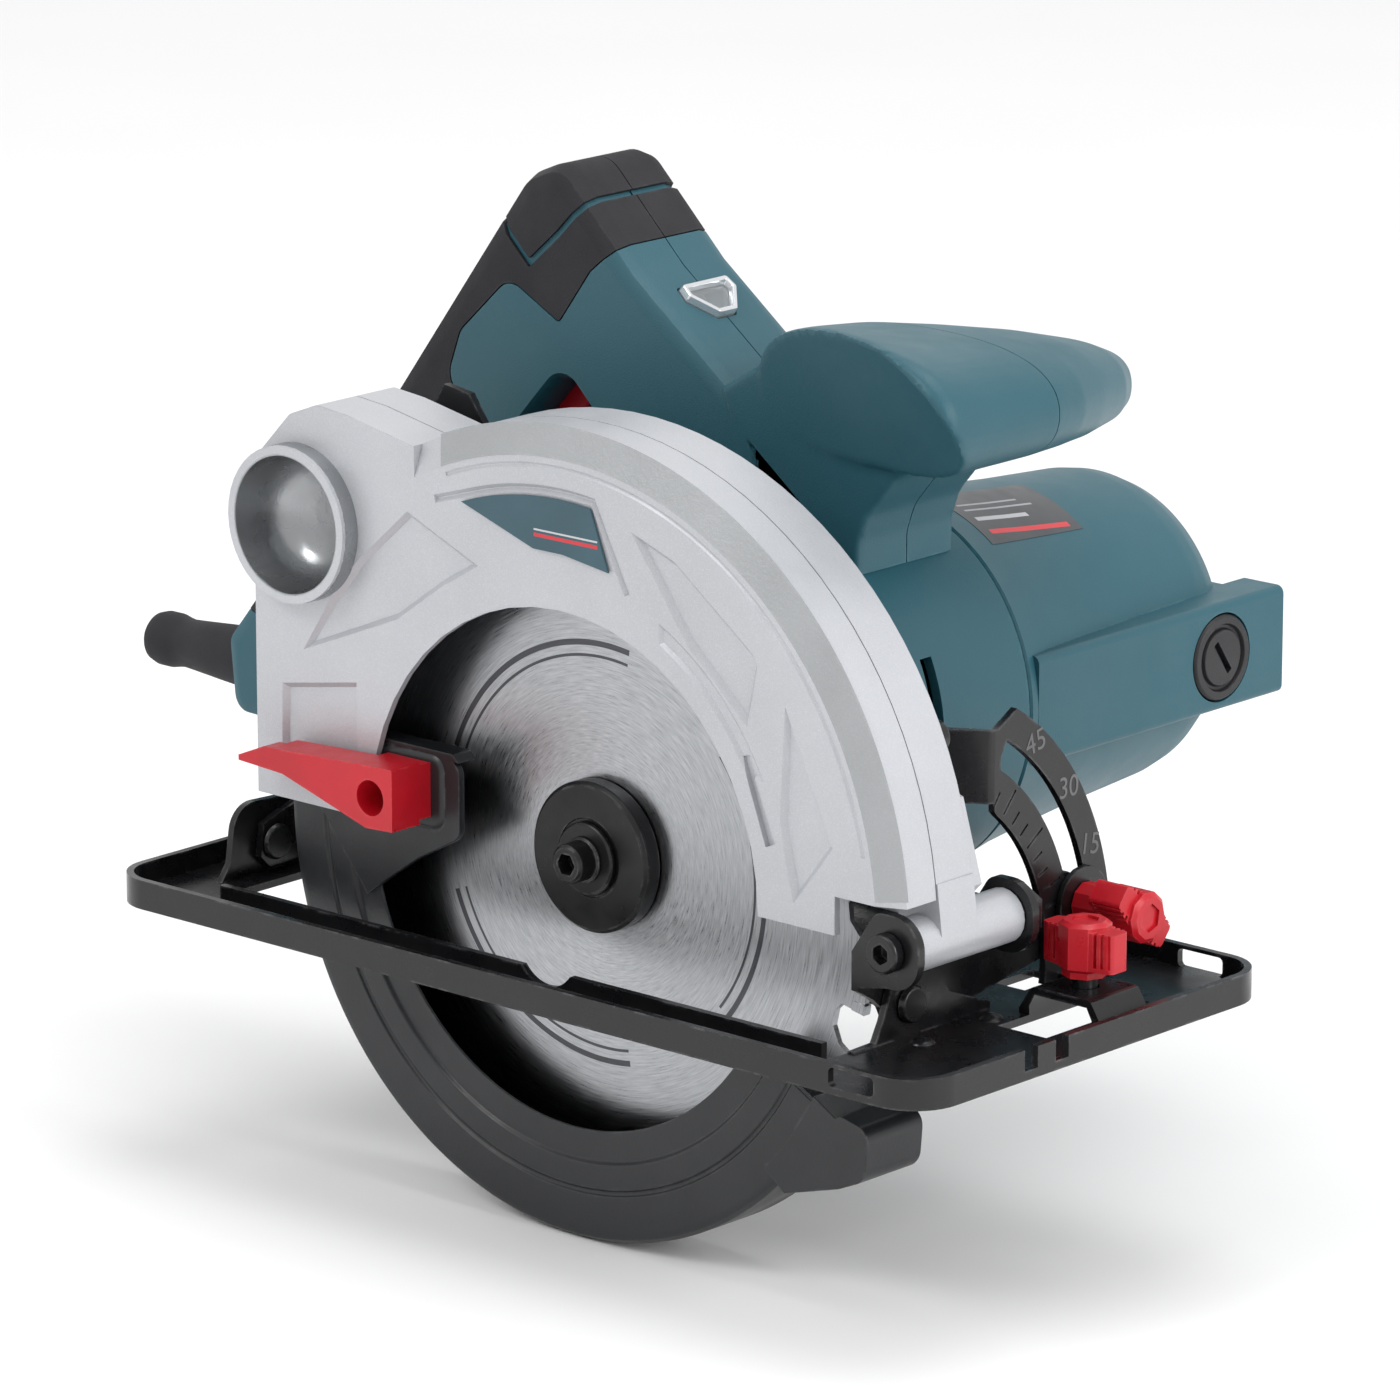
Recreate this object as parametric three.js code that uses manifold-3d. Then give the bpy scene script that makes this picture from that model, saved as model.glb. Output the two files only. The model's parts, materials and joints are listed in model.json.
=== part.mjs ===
// Hand-held circular saw, 165 mm blade, blade to the left of the motor.
//
// Units are millimetres. +X points to the front of the saw, +Y from the blade to the
// motor, +Z up. Inside the model y = 0 is the blade's middle plane, x = 0 the blade's
// axis and z = 0 the underside of the shoe. The whole saw is then moved sideways so that
// the part's origin lies on the shoe's underside, below the handle's parting plane.

import * as THREE from 'three';
import { mergeVertices } from 'three/addons/utils/BufferGeometryUtils.js';
import Module from 'manifold-3d';

const wasm = await Module();
wasm.setup();

// ---------------------------------------------------------------- driving dimensions

const GAP = 0.3;                        // clearance between pieces that touch
const BLADE_RADIUS = 82.5;
const CUT_DEPTH = 55;
const HUB_Z = BLADE_RADIUS - CUT_DEPTH; // blade axis above the sole
const BLADE_TEETH = 18;
const FLANGE_RADIUS = 17.9;

const SHOE = { back: -126, front: 127.3, left: -38.2, right: 86, rim: 7.1, sheet: 1.8 };
const WINDOW = { back: -104, front: 88.3, left: -24, right: 19 };

const BEVEL = { y: 2, z: 9.3 };         // bevel axis, along X
const DEPTH = { x: 97, z: 26 };         // depth pivot, along Y
const CLAMP = { x: -86, z: 22 };        // depth clamp bolt, along Y
const BEVEL_BOLT_RADIUS = 60.2;         // bevel bolt from the bevel axis
const BEVEL_BOLT_ANGLE = 10.5;          // degrees above level at 0 degrees bevel
const FENCE_SCREW = { x: 109, y: 40.5 };

const GUARD = { face: -15.5, split: -2.5, back: 10, outer: 102, cavity: 92.3, opening: 60.3 };
const LOWER_GUARD = { outer: 89.4, inner: 62.9, face: -12.8, back: 6.2, rim: 2.6 };
const PORT = { x: -82, z: 95.3, outer: 18.7, bore: 16.8, mouth: -20.5 };

const MOTOR = { x: 12, z: 54, radius: 46, joint: 83, end: 170.5, brush: 154.3, pad: 45.3 };
const GEAR_BOX_END = 33;
const GEAR_RADIUS = 23.3;
const PINION_RADIUS = 5.4;
const GEAR_TEETH = 46;
const PINION_TEETH = 11;

const HANDLE_Y = 60;                    // parting plane of the handle
const HANDLE_HALF = 17;
const HANDLE_LEFT = HANDLE_Y - HANDLE_HALF;
const HANDLE_RIGHT = HANDLE_Y + HANDLE_HALF;
const RIDGE_ANGLE = 37.4;               // degrees that the handle's ridge falls to the front
const NECK_FRONT = 39;
const SCOOP_RADIUS = 88;                // hollow in the near end of the front grip
const CORD = { z: 32, bore: 3.6 };      // axis of the cord's entry, along X

const BRACKET = { back: 86, front: 88, earLeft: -13.2, earRight: 26.3, ear: 2.2 };
const LEVER = { face: -26.5, back: -13.1 };
const LOCK = { x: 12, y: 19 };          // spindle lock pin, pressed down from the top
const LOCK_OFF = { x: -48, z: 147 };    // lock-off button, pressed along Y
const LENS_X = -22;                     // indicator window, on the handle's ridge
const COVER_SCREWS = [[-62, 112], [88, 68.5]];
const HANDLE_SCREWS = [[-92, 37], [-8, 119]];

// Height of the handle's ridge at a place along the saw.
function ridge(x) {
  return 172.7 - Math.tan(THREE.MathUtils.degToRad(RIDGE_ANGLE)) * (x + 57.3);
}

// ---------------------------------------------------------------- solids and outlines

// A closed geometry as a Manifold solid: shared corners merged, slivers dropped, faces out.
function solid(geometry) {
  geometry.deleteAttribute('normal');
  geometry.deleteAttribute('uv');
  const merged = mergeVertices(geometry, 1e-4);
  const vertProperties = new Float32Array(merged.attributes.position.array);
  const index = merged.index.array;
  const corner = (i) => new THREE.Vector3().fromArray(vertProperties, 3 * i);
  const triangles = [];
  let volume = 0;
  for (let i = 0; i < index.length; i += 3) {
    const [a, b, c] = [index[i], index[i + 1], index[i + 2]];
    if (a !== b && b !== c && c !== a) {
      triangles.push(a, b, c);
      volume += corner(a).dot(corner(b).cross(corner(c)));
    }
  }
  if (volume < 0) {
    for (let i = 0; i < triangles.length; i += 3) {
      [triangles[i], triangles[i + 1]] = [triangles[i + 1], triangles[i]];
    }
  }
  const triVerts = new Uint32Array(triangles);
  return new wasm.Manifold(new wasm.Mesh({ numProp: 3, vertProperties, triVerts }));
}

// An outline from its corners [u, v] or, where a corner is rounded, [u, v, radius].
function outline(corners) {
  const points = [];
  corners.forEach(([u, v, radius = 0], i) => {
    const here = new THREE.Vector2(u, v);
    if (radius === 0) {
      points.push(here);
      return;
    }
    const last = new THREE.Vector2(...corners.at(i - 1).slice(0, 2)).sub(here).normalize();
    const next = new THREE.Vector2(...corners[(i + 1) % corners.length].slice(0, 2)).sub(here).normalize();
    const half = Math.acos(last.dot(next)) / 2;
    const middle = last.clone().add(next).normalize().multiplyScalar(radius / Math.sin(half));
    const centre = here.clone().add(middle);
    const from = here.clone().addScaledVector(last, radius / Math.tan(half)).sub(centre);
    const to = here.clone().addScaledVector(next, radius / Math.tan(half)).sub(centre);
    const turn = Math.atan2(from.cross(to), from.dot(to));
    const steps = Math.max(2, Math.round(Math.abs(turn) / 0.4));
    for (let s = 0; s <= steps; s += 1) {
      points.push(from.clone().rotateAround(new THREE.Vector2(), turn * s / steps).add(centre));
    }
  });
  return new THREE.Shape(points);
}

// Points on an arc about (u, v), from one angle to another in degrees.
function arc(u, v, radius, from, to, steps = 24) {
  const points = [];
  for (let s = 0; s <= steps; s += 1) {
    const angle = THREE.MathUtils.degToRad(from + (to - from) * s / steps);
    points.push([u + radius * Math.cos(angle), v + radius * Math.sin(angle)]);
  }
  return points;
}

function circle(u, v, radius, steps = 32) {
  return outline(arc(u, v, radius, 0, 360 - 360 / steps, steps - 1));
}

function rectangle(u0, u1, v0, v1, radius = 0) {
  return outline([[u0, v0, radius], [u1, v0, radius], [u1, v1, radius], [u0, v1, radius]]);
}

function swept(shape, depth, grow, chamfer) {
  const options = { depth, bevelEnabled: false, steps: 1 };
  if (grow !== 0 || chamfer !== 0) {
    options.bevelEnabled = true;
    options.bevelSegments = 1;
    options.bevelThickness = Math.max(chamfer, 0.01);
    options.bevelSize = chamfer;
    options.bevelOffset = grow - chamfer;
    options.depth = depth - 2 * options.bevelThickness;
  }
  const geometry = new THREE.ExtrudeGeometry(shape, options);
  geometry.translate(0, 0, options.bevelEnabled ? options.bevelThickness : 0);
  return geometry;
}

// Outlines in XY swept along Z, in XZ swept along Y, and in YZ swept along X.
function sweepZ(shape, z0, z1, grow = 0, chamfer = 0) {
  return solid(swept(shape, z1 - z0, grow, chamfer).translate(0, 0, z0));
}

function sweepY(shape, y0, y1, grow = 0, chamfer = 0) {
  return solid(swept(shape, y1 - y0, grow, chamfer).rotateX(Math.PI / 2).translate(0, y1, 0));
}

function sweepX(shape, x0, x1, grow = 0, chamfer = 0) {
  const turn = new THREE.Matrix4().makeBasis(
    new THREE.Vector3(0, 1, 0), new THREE.Vector3(0, 0, 1), new THREE.Vector3(1, 0, 0));
  return solid(swept(shape, x1 - x0, grow, chamfer).applyMatrix4(turn).translate(x0, 0, 0));
}

function block(x0, x1, y0, y1, z0, z1) {
  const geometry = new THREE.BoxGeometry(x1 - x0, y1 - y0, z1 - z0);
  return solid(geometry.translate((x0 + x1) / 2, (y0 + y1) / 2, (z0 + z1) / 2));
}

// Turned bodies: a closed profile of [radius, place along the axis].
function turned(profile, steps) {
  const points = [...profile, profile[0]].map(([radius, along]) => new THREE.Vector2(radius, along));
  return new THREE.LatheGeometry(points, steps);
}

function turnY(profile, x, z, steps = 32) {
  return solid(turned(profile, steps).translate(x, 0, z));
}

function turnX(profile, y, z, steps = 32) {
  return solid(turned(profile, steps).rotateZ(-Math.PI / 2).translate(0, y, z));
}

function turnZ(profile, x, y, steps = 32) {
  return solid(turned(profile, steps).rotateX(Math.PI / 2).translate(x, y, 0));
}

function rod(radius, from, to) {
  return [[0, from], [radius, from], [radius, to], [0, to]];
}

function ring(inner, outer, from, to) {
  return [[inner, from], [outer, from], [outer, to], [inner, to]];
}

// ---------------------------------------------------------------- materials and nodes

function finish(color, roughness, metalness) {
  return new THREE.MeshStandardMaterial({ color, roughness, metalness });
}

const FINISH = {
  castAluminium: finish(0xd9dbe0, 0.45, 0.5),
  machinedSteel: finish(0xb4b7bb, 0.3, 1),
  blackSteel: finish(0x17181a, 0.35, 0.6),
  teal: finish(0x2f6573, 0.5, 0),
  rubber: finish(0x2b2c30, 0.85, 0),
  black: finish(0x1c1d20, 0.55, 0),
  red: finish(0xd21f2c, 0.4, 0),
  lens: finish(0xe6ecef, 0.08, 0),
  copper: finish(0xb06a3c, 0.35, 0.9),
  brass: finish(0xc9a04a, 0.3, 1),
  carbon: finish(0x26262a, 0.6, 0.1),
  spring: finish(0x8f9296, 0.3, 1),
};

const saw = new THREE.Group();
saw.position.y = -HANDLE_Y;

function place(name, body, material) {
  const { vertProperties, triVerts } = body.getMesh();
  const geometry = new THREE.BufferGeometry();
  geometry.setAttribute('position', new THREE.BufferAttribute(vertProperties, 3));
  geometry.setIndex(new THREE.BufferAttribute(triVerts, 1));
  geometry.computeVertexNormals();
  const mesh = new THREE.Mesh(geometry, material);
  mesh.name = name;
  saw.add(mesh);
}

// ---------------------------------------------------------------- shoe

function shoePlate() {
  const { back, front, left, right, rim, sheet } = SHOE;
  const corner = 12;
  const inside = rectangle(back + sheet, front - sheet, left + sheet, right - sheet, corner - sheet);
  let plate = sweepZ(rectangle(back, front, left, right, corner), 0, rim)
    .subtract(sweepZ(inside, sheet, rim + 1));

  const bladeWindow = rectangle(WINDOW.back, WINDOW.front, WINDOW.left, WINDOW.right, 4);
  plate = plate.subtract(sweepZ(bladeWindow, -1, rim + 1));
  plate = plate.subtract(sweepZ(rectangle(-36, 38, 0, 37, 4), -1, rim + 1));

  // upturned edge along the left side of the window, dipped in front of the blade bolt
  const lipTop = 6;
  const lip = block(WINDOW.back + 4, WINDOW.front, WINDOW.left - sheet, WINDOW.left, 0.5, lipTop)
    .subtract(turnY(rod(9.5, WINDOW.left - 5, WINDOW.left + 5), 5, lipTop + 5.8));
  plate = plate.add(lip);

  // upright ears that carry the two bevel rivets
  const frontEar = outline([[-17, 0.5], [30, 0.5], [30, 3.5], [16, 9], [9, 16.5, 4], [-3, 17.5, 5], [-7, 7],
    [-9.5, 2.4], [-17, 2.2]]);
  const rearEar = outline([[-15, 0.5], [15, 0.5], [13, 8], [12, 19, 3], [-9, 20, 7], [-11, 6]]);
  plate = plate.add(sweepX(frontEar, WINDOW.front, WINDOW.front + sheet));
  plate = plate.add(sweepX(rearEar, -113, -113 + sheet));
  plate = plate.subtract(turnX(rod(3.3, -115, -110), BEVEL.y, BEVEL.z, 20));
  plate = plate.subtract(turnX(rod(3.3, 86, 92), BEVEL.y, BEVEL.z, 20));

  // bridge that guides the rip fence bar, with the openings beside and under it
  const bridge = { x0: 97, x1: 121, y0: 32, y1: 49, top: 8.6 };
  plate = plate.subtract(block(100, 114, 21, bridge.y1 + 9, -1, sheet + 1));
  const arch = outline([[bridge.x0, 0.5], [bridge.x0 + 3, 0.5], [bridge.x0 + 3, 4], [101.5, 6.8],
    [116.5, 6.8],
    [bridge.x1 - 3, 4], [bridge.x1 - 3, 0.5], [bridge.x1, 0.5], [bridge.x1, 3], [117.5, bridge.top, 2],
    [100.5, bridge.top, 2], [bridge.x0, 3]]);
  plate = plate.add(sweepY(arch, bridge.y0, bridge.y1));
  plate = plate.subtract(turnZ(rod(3.4, 4, 12), FENCE_SCREW.x, FENCE_SCREW.y, 20));
  plate = plate.subtract(block(78, 87, 46, 60, -1, sheet + 1));
  plate = plate.subtract(block(101, 114, left - 1, left + 3, sheet, 6.2));
  plate = plate.subtract(block(101, 114, right - 3, right + 1, sheet, 6.2));

  // sighting notches in the front rim for 0 and 45 degree cuts
  for (const [y0, y1] of [[-2.5, 2], [8.2, 12.7]]) {
    plate = plate.subtract(block(front - 3, front + 1, y0, y1, 2.2, rim + 1));
  }
  return plate;
}

function bevelQuadrant() {
  const { y, z } = BEVEL;
  const plate = outline([
    ...arc(y, z, 71, -5, 59, 16), [31, 66], [31, 47.5],
    ...arc(y, z, 47.7, 51, -7.6, 14),
  ]);
  const slotEnd = BEVEL_BOLT_ANGLE + 46;
  const slotStart = BEVEL_BOLT_ANGLE - 1;
  const slot = outline([
    ...arc(y, z, 63.6, slotStart - 3, slotEnd + 2, 12),
    ...arc(y, z, 56.8, slotEnd + 2, slotStart - 3, 12),
  ]);
  const thickness = [WINDOW.front, WINDOW.front + SHOE.sheet];
  const foot = block(WINDOW.front, 96.5, 54, 69, 3, 4.8);
  const flange = outline([[90.1, 33], [88.3, 33], [88.3, 31], [77.4, 24.5], [78.3, 22.95], [89.2, 29.45],
    [90.1, 31]]);
  return sweepX(plate, ...thickness)
    .subtract(sweepX(slot, 86, 92))
    .add(foot)
    .add(sweepZ(flange, 49.5, 66.5));
}

// Wing knob turned about its own axis: collar, hub and two ribbed wings, from 0 upwards.
function wingKnob(collarHeight) {
  const hub = turnZ([[0, 0], [5.2, 0], [5.2, collarHeight], [5.8, collarHeight + 1],
    [5.8, collarHeight + 10.5], [4.8, collarHeight + 11.5], [0, collarHeight + 11.5]], 0, 0, 12);
  const wings = outline([[-10, -3.6, 1.2], [10, -3.6, 1.2], [10, 3.6, 1.2], [-10, 3.6, 1.2]]);
  return hub.add(sweepZ(wings, collarHeight + 0.8, collarHeight + 9.8));
}

function fenceKnob() {
  const bore = turnZ(rod(2.3, -1, 12), 0, 0, 16);
  return wingKnob(1.5).subtract(bore).translate([FENCE_SCREW.x, FENCE_SCREW.y, 11.3]);
}

function fenceScrew() {
  const profile = [[0, 7], [3, 7], [3, 11], [2, 11], [2, 22], [0, 22]];
  return turnZ(profile, FENCE_SCREW.x, FENCE_SCREW.y, 16);
}

place('shoe_plate', shoePlate(), FINISH.blackSteel);
place('bevel_quadrant', bevelQuadrant(), FINISH.blackSteel);
place('rip_fence_knob', fenceKnob(), FINISH.red);
place('rip_fence_screw', fenceScrew(), FINISH.blackSteel);

// ---------------------------------------------------------------- tilting frame

function frontBracket() {
  const { y, z } = BEVEL;
  const web = outline([[-13.2, 15], [-8, 12], [y - 7, z], [y - 4, z - 6], [y + 4, z - 6], [24, 4.5],
    [62, 10.5, 4],
    [67, 16, 3], [66, 25, 4], [61, 24.6], [57.5, 20], [52, 15], [28.5, 15.5], [28.5, 21], [-13.2, 21]]);
  const ear = outline([[BRACKET.back, 15.4], [96, 17.4], [105.5, 17.4, 7.5], [105.5, 34.5, 7.5],
    [93, 34.5, 4], [BRACKET.back, 24]]);
  return sweepX(web, BRACKET.back, BRACKET.front)
    .add(sweepY(ear, BRACKET.earLeft, BRACKET.earLeft + BRACKET.ear))
    .add(sweepY(ear, BRACKET.earRight, BRACKET.earRight + BRACKET.ear))
    .subtract(turnX(rod(3.3, 84, 90), y, z, 20))
    .subtract(turnX(rod(3.4, 84, 90), ...bevelBolt(), 20))
    .subtract(turnY(rod(3.8, -20, 40), DEPTH.x, DEPTH.z, 20));
}

function bevelBolt() {
  const angle = THREE.MathUtils.degToRad(BEVEL_BOLT_ANGLE);
  return [BEVEL.y + BEVEL_BOLT_RADIUS * Math.cos(angle), BEVEL.z + BEVEL_BOLT_RADIUS * Math.sin(angle)];
}

function rivet(from, to, headsOut) {
  const reach = headsOut ? 1.6 : 1.2;
  return turnX([[0, from - reach], [4, from - reach], [4.6, from], [3, from], [3, to], [4.6, to],
    [4, to + reach], [0, to + reach]], BEVEL.y, BEVEL.z, 16);
}

// Rear tilting bracket with the curved arm along which the depth clamp slides.
function depthGuide() {
  const { y, z } = BEVEL;
  const back = -110.9;
  const sheet = 2;
  const web = outline([[y - 5, z - 3], [y - 2, z - 6], [18, 4, 1], [18, 20, 2], [y + 2, z + 7],
    [y - 4, z + 5]]);

  // the arm and its slot run along arcs about the depth pivot, up to the deepest setting
  const reach = DEPTH.x - CLAMP.x;
  const halfWidth = 7.5;
  const halfSlot = 3.4;
  const top = 148.6;
  const slotTop = 150.1;
  const slotFoot = 182.5;
  const [tip] = arc(DEPTH.x, DEPTH.z, reach, top - 1, top - 1, 1);
  const innerArc = arc(DEPTH.x, DEPTH.z, reach - halfWidth, 186, top, 12);
  const outerArc = arc(DEPTH.x, DEPTH.z, reach + halfWidth, top, 180, 12);
  const side = outline([[back, 4], [innerArc[0][0] + 3, 4], ...innerArc.slice(1), tip, ...outerArc,
    [back, 20]]);
  const slot = outline([
    ...arc(DEPTH.x, DEPTH.z, reach + halfSlot, slotFoot, slotTop, 12),
    ...arc(DEPTH.x, DEPTH.z, reach - halfSlot, slotTop, slotFoot, 12),
  ]);
  return sweepX(web, back, back + sheet)
    .add(sweepY(side, 16, 16 + sheet))
    .subtract(sweepY(slot, 14, 20))
    .subtract(turnX(rod(3.3, back - 1, back + sheet + 1), y, z, 20));
}

function carriageBolt() {
  const [y, z] = bevelBolt();
  return turnX([[0, 83.2], [6, 83.2], [6, 85.7], [2.9, 85.7], [2.9, 103], [0, 103]], y, z, 20);
}

function bevelWasher() {
  return turnX(ring(3.3, 8.6, 90.4, 91.9), ...bevelBolt(), 20);
}

function bevelKnob() {
  const [y, z] = bevelBolt();
  const along = 92.2;
  return wingKnob(7.5)
    .subtract(turnZ(rod(3.3, -1, 11.4), 0, 0, 16))
    .rotate([0, 0, 50])
    .rotate([0, 90, 0])
    .translate([along, y, z]);
}

function socketBolt(radius, headFrom, headTo, shankRadius, shankTo, x, z) {
  const head = turnY([[0, headFrom], [radius - 0.5, headFrom], [radius, headFrom + 0.5], [radius, headTo],
    [shankRadius, headTo], [shankRadius, shankTo], [0, shankTo]], x, z, 18);
  return head.subtract(turnY(rod(radius * 0.5, headFrom - 1, headFrom + 3), x, z, 6));
}

place('front_bracket', frontBracket(), FINISH.blackSteel);
place('front_bevel_rivet', rivet(85.7, 90.4, true), FINISH.blackSteel);
place('depth_guide', depthGuide(), FINISH.blackSteel);
place('rear_bevel_rivet', rivet(-113.3, -108.6, false), FINISH.blackSteel);
place('bevel_bolt', carriageBolt(), FINISH.blackSteel);
place('bevel_washer', bevelWasher(), FINISH.blackSteel);
place('bevel_knob', bevelKnob(), FINISH.red);
place('depth_pivot_bolt', socketBolt(4.6, -16.4, -13.5, 3.4, 34, DEPTH.x, DEPTH.z), FINISH.blackSteel);
place('depth_pivot_nut', turnY(ring(4.1, 6.6, 28.8, 33), DEPTH.x, DEPTH.z, 6), FINISH.blackSteel);

// ---------------------------------------------------------------- blade guard and gear case

// Outer edge of the upper guard, from the front end over the top to the rear end.
function guardEdge() {
  return [
    [101.6, 36.5], ...arc(0, HUB_Z, GUARD.outer, 7.5, 116.25, 29),
    [-66, 123], [-76, 124, 3], [-85, 120.5, 3], [-97, 108, 5], [-100, 95, 8], [-97, 82],
  ];
}

function guardCover() {
  const front = [[60.3, HUB_Z], [83, HUB_Z], [83, 36.5]];
  const opening = arc(0, HUB_Z, GUARD.opening, 180, 0, 24).slice(0, -1);
  const face = outline([...opening, ...front, ...guardEdge(), [-97, HUB_Z]]);
  const inner = GUARD.split - GAP / 2;
  let cover = sweepY(face, GUARD.face, inner);

  // sloping band between the face and the outer wall
  const band = turnY([[95.2, GUARD.face - 1], [104, GUARD.face - 1], [104, -11.9], [102.6, -12.4],
    [95.2, GUARD.face]], 0, HUB_Z, 96);
  cover = cover.subtract(band.intersect(block(-45, 110, -20, 0, 30, 140)));

  // dust port
  const { x, z, outer, bore, mouth } = PORT;
  cover = cover.add(turnY(rod(outer, mouth, inner), x, z, 40));
  cover = cover.subtract(turnY(rod(GUARD.cavity, -13.7, 0), 0, HUB_Z, 48));
  cover = cover.subtract(turnY([[0, mouth - 1], [bore, mouth - 1], [bore - 1.5, -4.5],
    [0, -4.5]], x, z, 32));
  const throat = outline([[-92, 84], [-75, 78], [-62, 92], [-70, 104]]);
  cover = cover.subtract(sweepY(throat, -13.7, -4.5));
  for (const screw of COVER_SCREWS) {
    cover = cover.subtract(turnY(rod(2.3, -10, 0), ...screw, 12));
  }
  return cover;
}

function gearCase() {
  const start = GUARD.split + GAP / 2;
  const edge = [[101.6, 36.5], ...guardEdge().slice(1)];
  const wall = outline([[-97, HUB_Z], [-91, 14, 6], [-79, 14, 6], [-76, HUB_Z], [-26, HUB_Z],
    ...arc(0, HUB_Z, 26.8, 190, 350, 16), [27, HUB_Z], [83, HUB_Z], [83, 36.5], ...edge]);
  let body = sweepY(wall, start, GUARD.back);
  body = body.subtract(turnY(rod(GUARD.cavity, start - 1, 7.7), 0, HUB_Z, 48));
  body = body.subtract(block(-91.4, -70, start - 1, 7.7, 10, 50));
  const lowerRear = block(-100, -20, start - 1, 7.7, 0, HUB_Z);
  body = body.subtract(lowerRear);
  body = body.subtract(block(60, 84, start - 1, 7.7, 0, 36.5));

  // gear box around the two shafts, with the boss on which the lower guard turns
  const { x, z } = MOTOR;
  const bigEnd = arc(0, HUB_Z, 26.8, 165, 345, 18);
  const smallEnd = arc(x, z, 25, -15, 155, 14);
  body = body.add(sweepY(outline([...bigEnd, ...smallEnd]), GUARD.back - 1, GEAR_BOX_END));
  body = body.add(turnY(rod(20, 3.6, GUARD.back), 0, HUB_Z, 32));

  // front barrel for the depth pivot, tied to the guard by a web and a rib
  body = body.add(turnY(rod(6.4, -10.7, 26), DEPTH.x, DEPTH.z, 20));
  body = body.add(sweepY(outline([[91, 27], [103.2, 27], [101.6, 40], [89, 40]]), start, GUARD.back));
  const rib = outline([[88, 37], [91, 27], [97, 32.2], [101.6, 37], [96, 56], [84, 60]]);
  body = body.add(sweepY(rib, GUARD.back - 1, 13));
  body = body.add(turnY(rod(7.5, 7.7, 15.7), CLAMP.x, CLAMP.z, 24));

  // hollows: gears, bearings, shafts and bolts
  body = body.subtract(turnY(rod(24.3, 12.4, 26.6), 0, HUB_Z, 30));
  body = body.subtract(turnY(rod(7, 12.4, 25), x, z, 24));
  body = body.subtract(turnY(rod(15.5, 4.9, 11.3), 0, HUB_Z, 20));
  body = body.subtract(turnY(rod(12.5, 0, 14), 0, HUB_Z, 20));
  body = body.subtract(turnY(rod(9.9, 26, 31.4), 0, HUB_Z, 20));
  body = body.subtract(turnY(rod(13.4, 24.4, 34), x, z, 24));
  body = body.subtract(turnY(rod(3.9, -12, 28), DEPTH.x, DEPTH.z, 14));
  body = body.subtract(turnY(rod(3.4, 0, 20), CLAMP.x, CLAMP.z, 16));
  body = body.subtract(turnY(rod(6.4, 7, 10), CLAMP.x, CLAMP.z, 24));
  body = body.subtract(turnZ(rod(3.4, 67, 101), LOCK.x, LOCK.y, 16));
  for (const screw of COVER_SCREWS) {
    body = body.subtract(turnY(rod(2.3, -4, 12), ...screw, 12));
  }
  return body;
}

function coverScrew(x, z) {
  return turnY([[0, -9], [1.9, -9], [1.9, 10.3], [4, 10.3], [4, 12.6],
    [3.2, 13.4], [0, 13.4]], x, z, 16);
}

function labelPlate() {
  const top = arc(0, HUB_Z, 86.3, 110, 83, 8);
  const shape = outline([...top, [16, 99.2], [2, 101.2], [-7, 101.2]]);
  return sweepY(shape, GUARD.face - GAP - 0.6, GUARD.face - GAP);
}

function bearing(inner, outer, y0, y1, x, z) {
  return turnY(ring(inner, outer, y0, y1), x, z, 18);
}

place('guard_cover', guardCover(), FINISH.castAluminium);
place('gear_case', gearCase(), FINISH.castAluminium);
place('label_plate', labelPlate(), FINISH.teal);
COVER_SCREWS.forEach(([x, z], i) => place(`cover_screw_${i + 1}`, coverScrew(x, z), FINISH.blackSteel));
place('spindle_front_bearing', bearing(6.3, 15, 5.2, 11, 0, HUB_Z), FINISH.machinedSteel);
place('spindle_rear_bearing', bearing(5.3, 9.5, 26.9, 31.1, 0, HUB_Z), FINISH.machinedSteel);
place('armature_front_bearing', bearing(4.3, 13, 24.7, 32, MOTOR.x, MOTOR.z), FINISH.machinedSteel);

// ---------------------------------------------------------------- spindle and blade

function toothedWheel(radius, depth, teeth, y0, y1, bore, x, z) {
  const points = [];
  for (let tooth = 0; tooth < teeth; tooth += 1) {
    const angle = 360 * tooth / teeth;
    const pitch = 360 / teeth;
    points.push(...arc(0, 0, radius - depth, angle, angle, 1).slice(1));
    points.push(...arc(0, 0, radius, angle + 0.3 * pitch, angle + 0.6 * pitch, 1));
  }
  return sweepY(outline(points), y0, y1)
    .subtract(turnY(rod(bore, y0 - 1, y1 + 1), 0, 0, 24))
    .translate([x, 0, z]);
}

// Blade: gullets cut behind carbide tips whose cutting faces look up at the front.
function blade() {
  const half = 0.8;
  const disc = turnY(ring(5.3, BLADE_RADIUS - 0.6, -half, half), 0, 0, 72);
  const gullet = outline([[83, 0.2], [75.6, -0.4], [74.4, -2.5], [74.6, -6.5], [77.2, -9.8],
    [84, -12.2], [90, -6], [90, 0.2]]);
  const cutter = sweepY(gullet, -3, 3);
  const tip = sweepY(outline([[82.5, -0.2], [78.6, -0.5], [78.8, 1.9], [82.3, 2.2]]), -1.1, 1.1);
  let toothed = disc;
  for (let tooth = 0; tooth < BLADE_TEETH; tooth += 1) {
    const turn = [0, -360 * tooth / BLADE_TEETH, 0];
    toothed = toothed.subtract(cutter.translate([0, 0, -0.2]).rotate(turn));
    toothed = toothed.add(tip.translate([0, 0, 0.05]).rotate(turn));
  }
  return toothed.rotate([0, 15.9, 0]).translate([0, 0, HUB_Z]);
}

function spindle() {
  return turnY([[0, -3.4], [5, -3.4], [5, 4.6], [6, 4.6], [6, 12], [7, 12], [7, 25.5], [5, 25.5], [5, 31],
    [0, 31]], 0, HUB_Z, 20).subtract(turnY(rod(2.9, -4, 12), 0, HUB_Z, 16));
}

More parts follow.
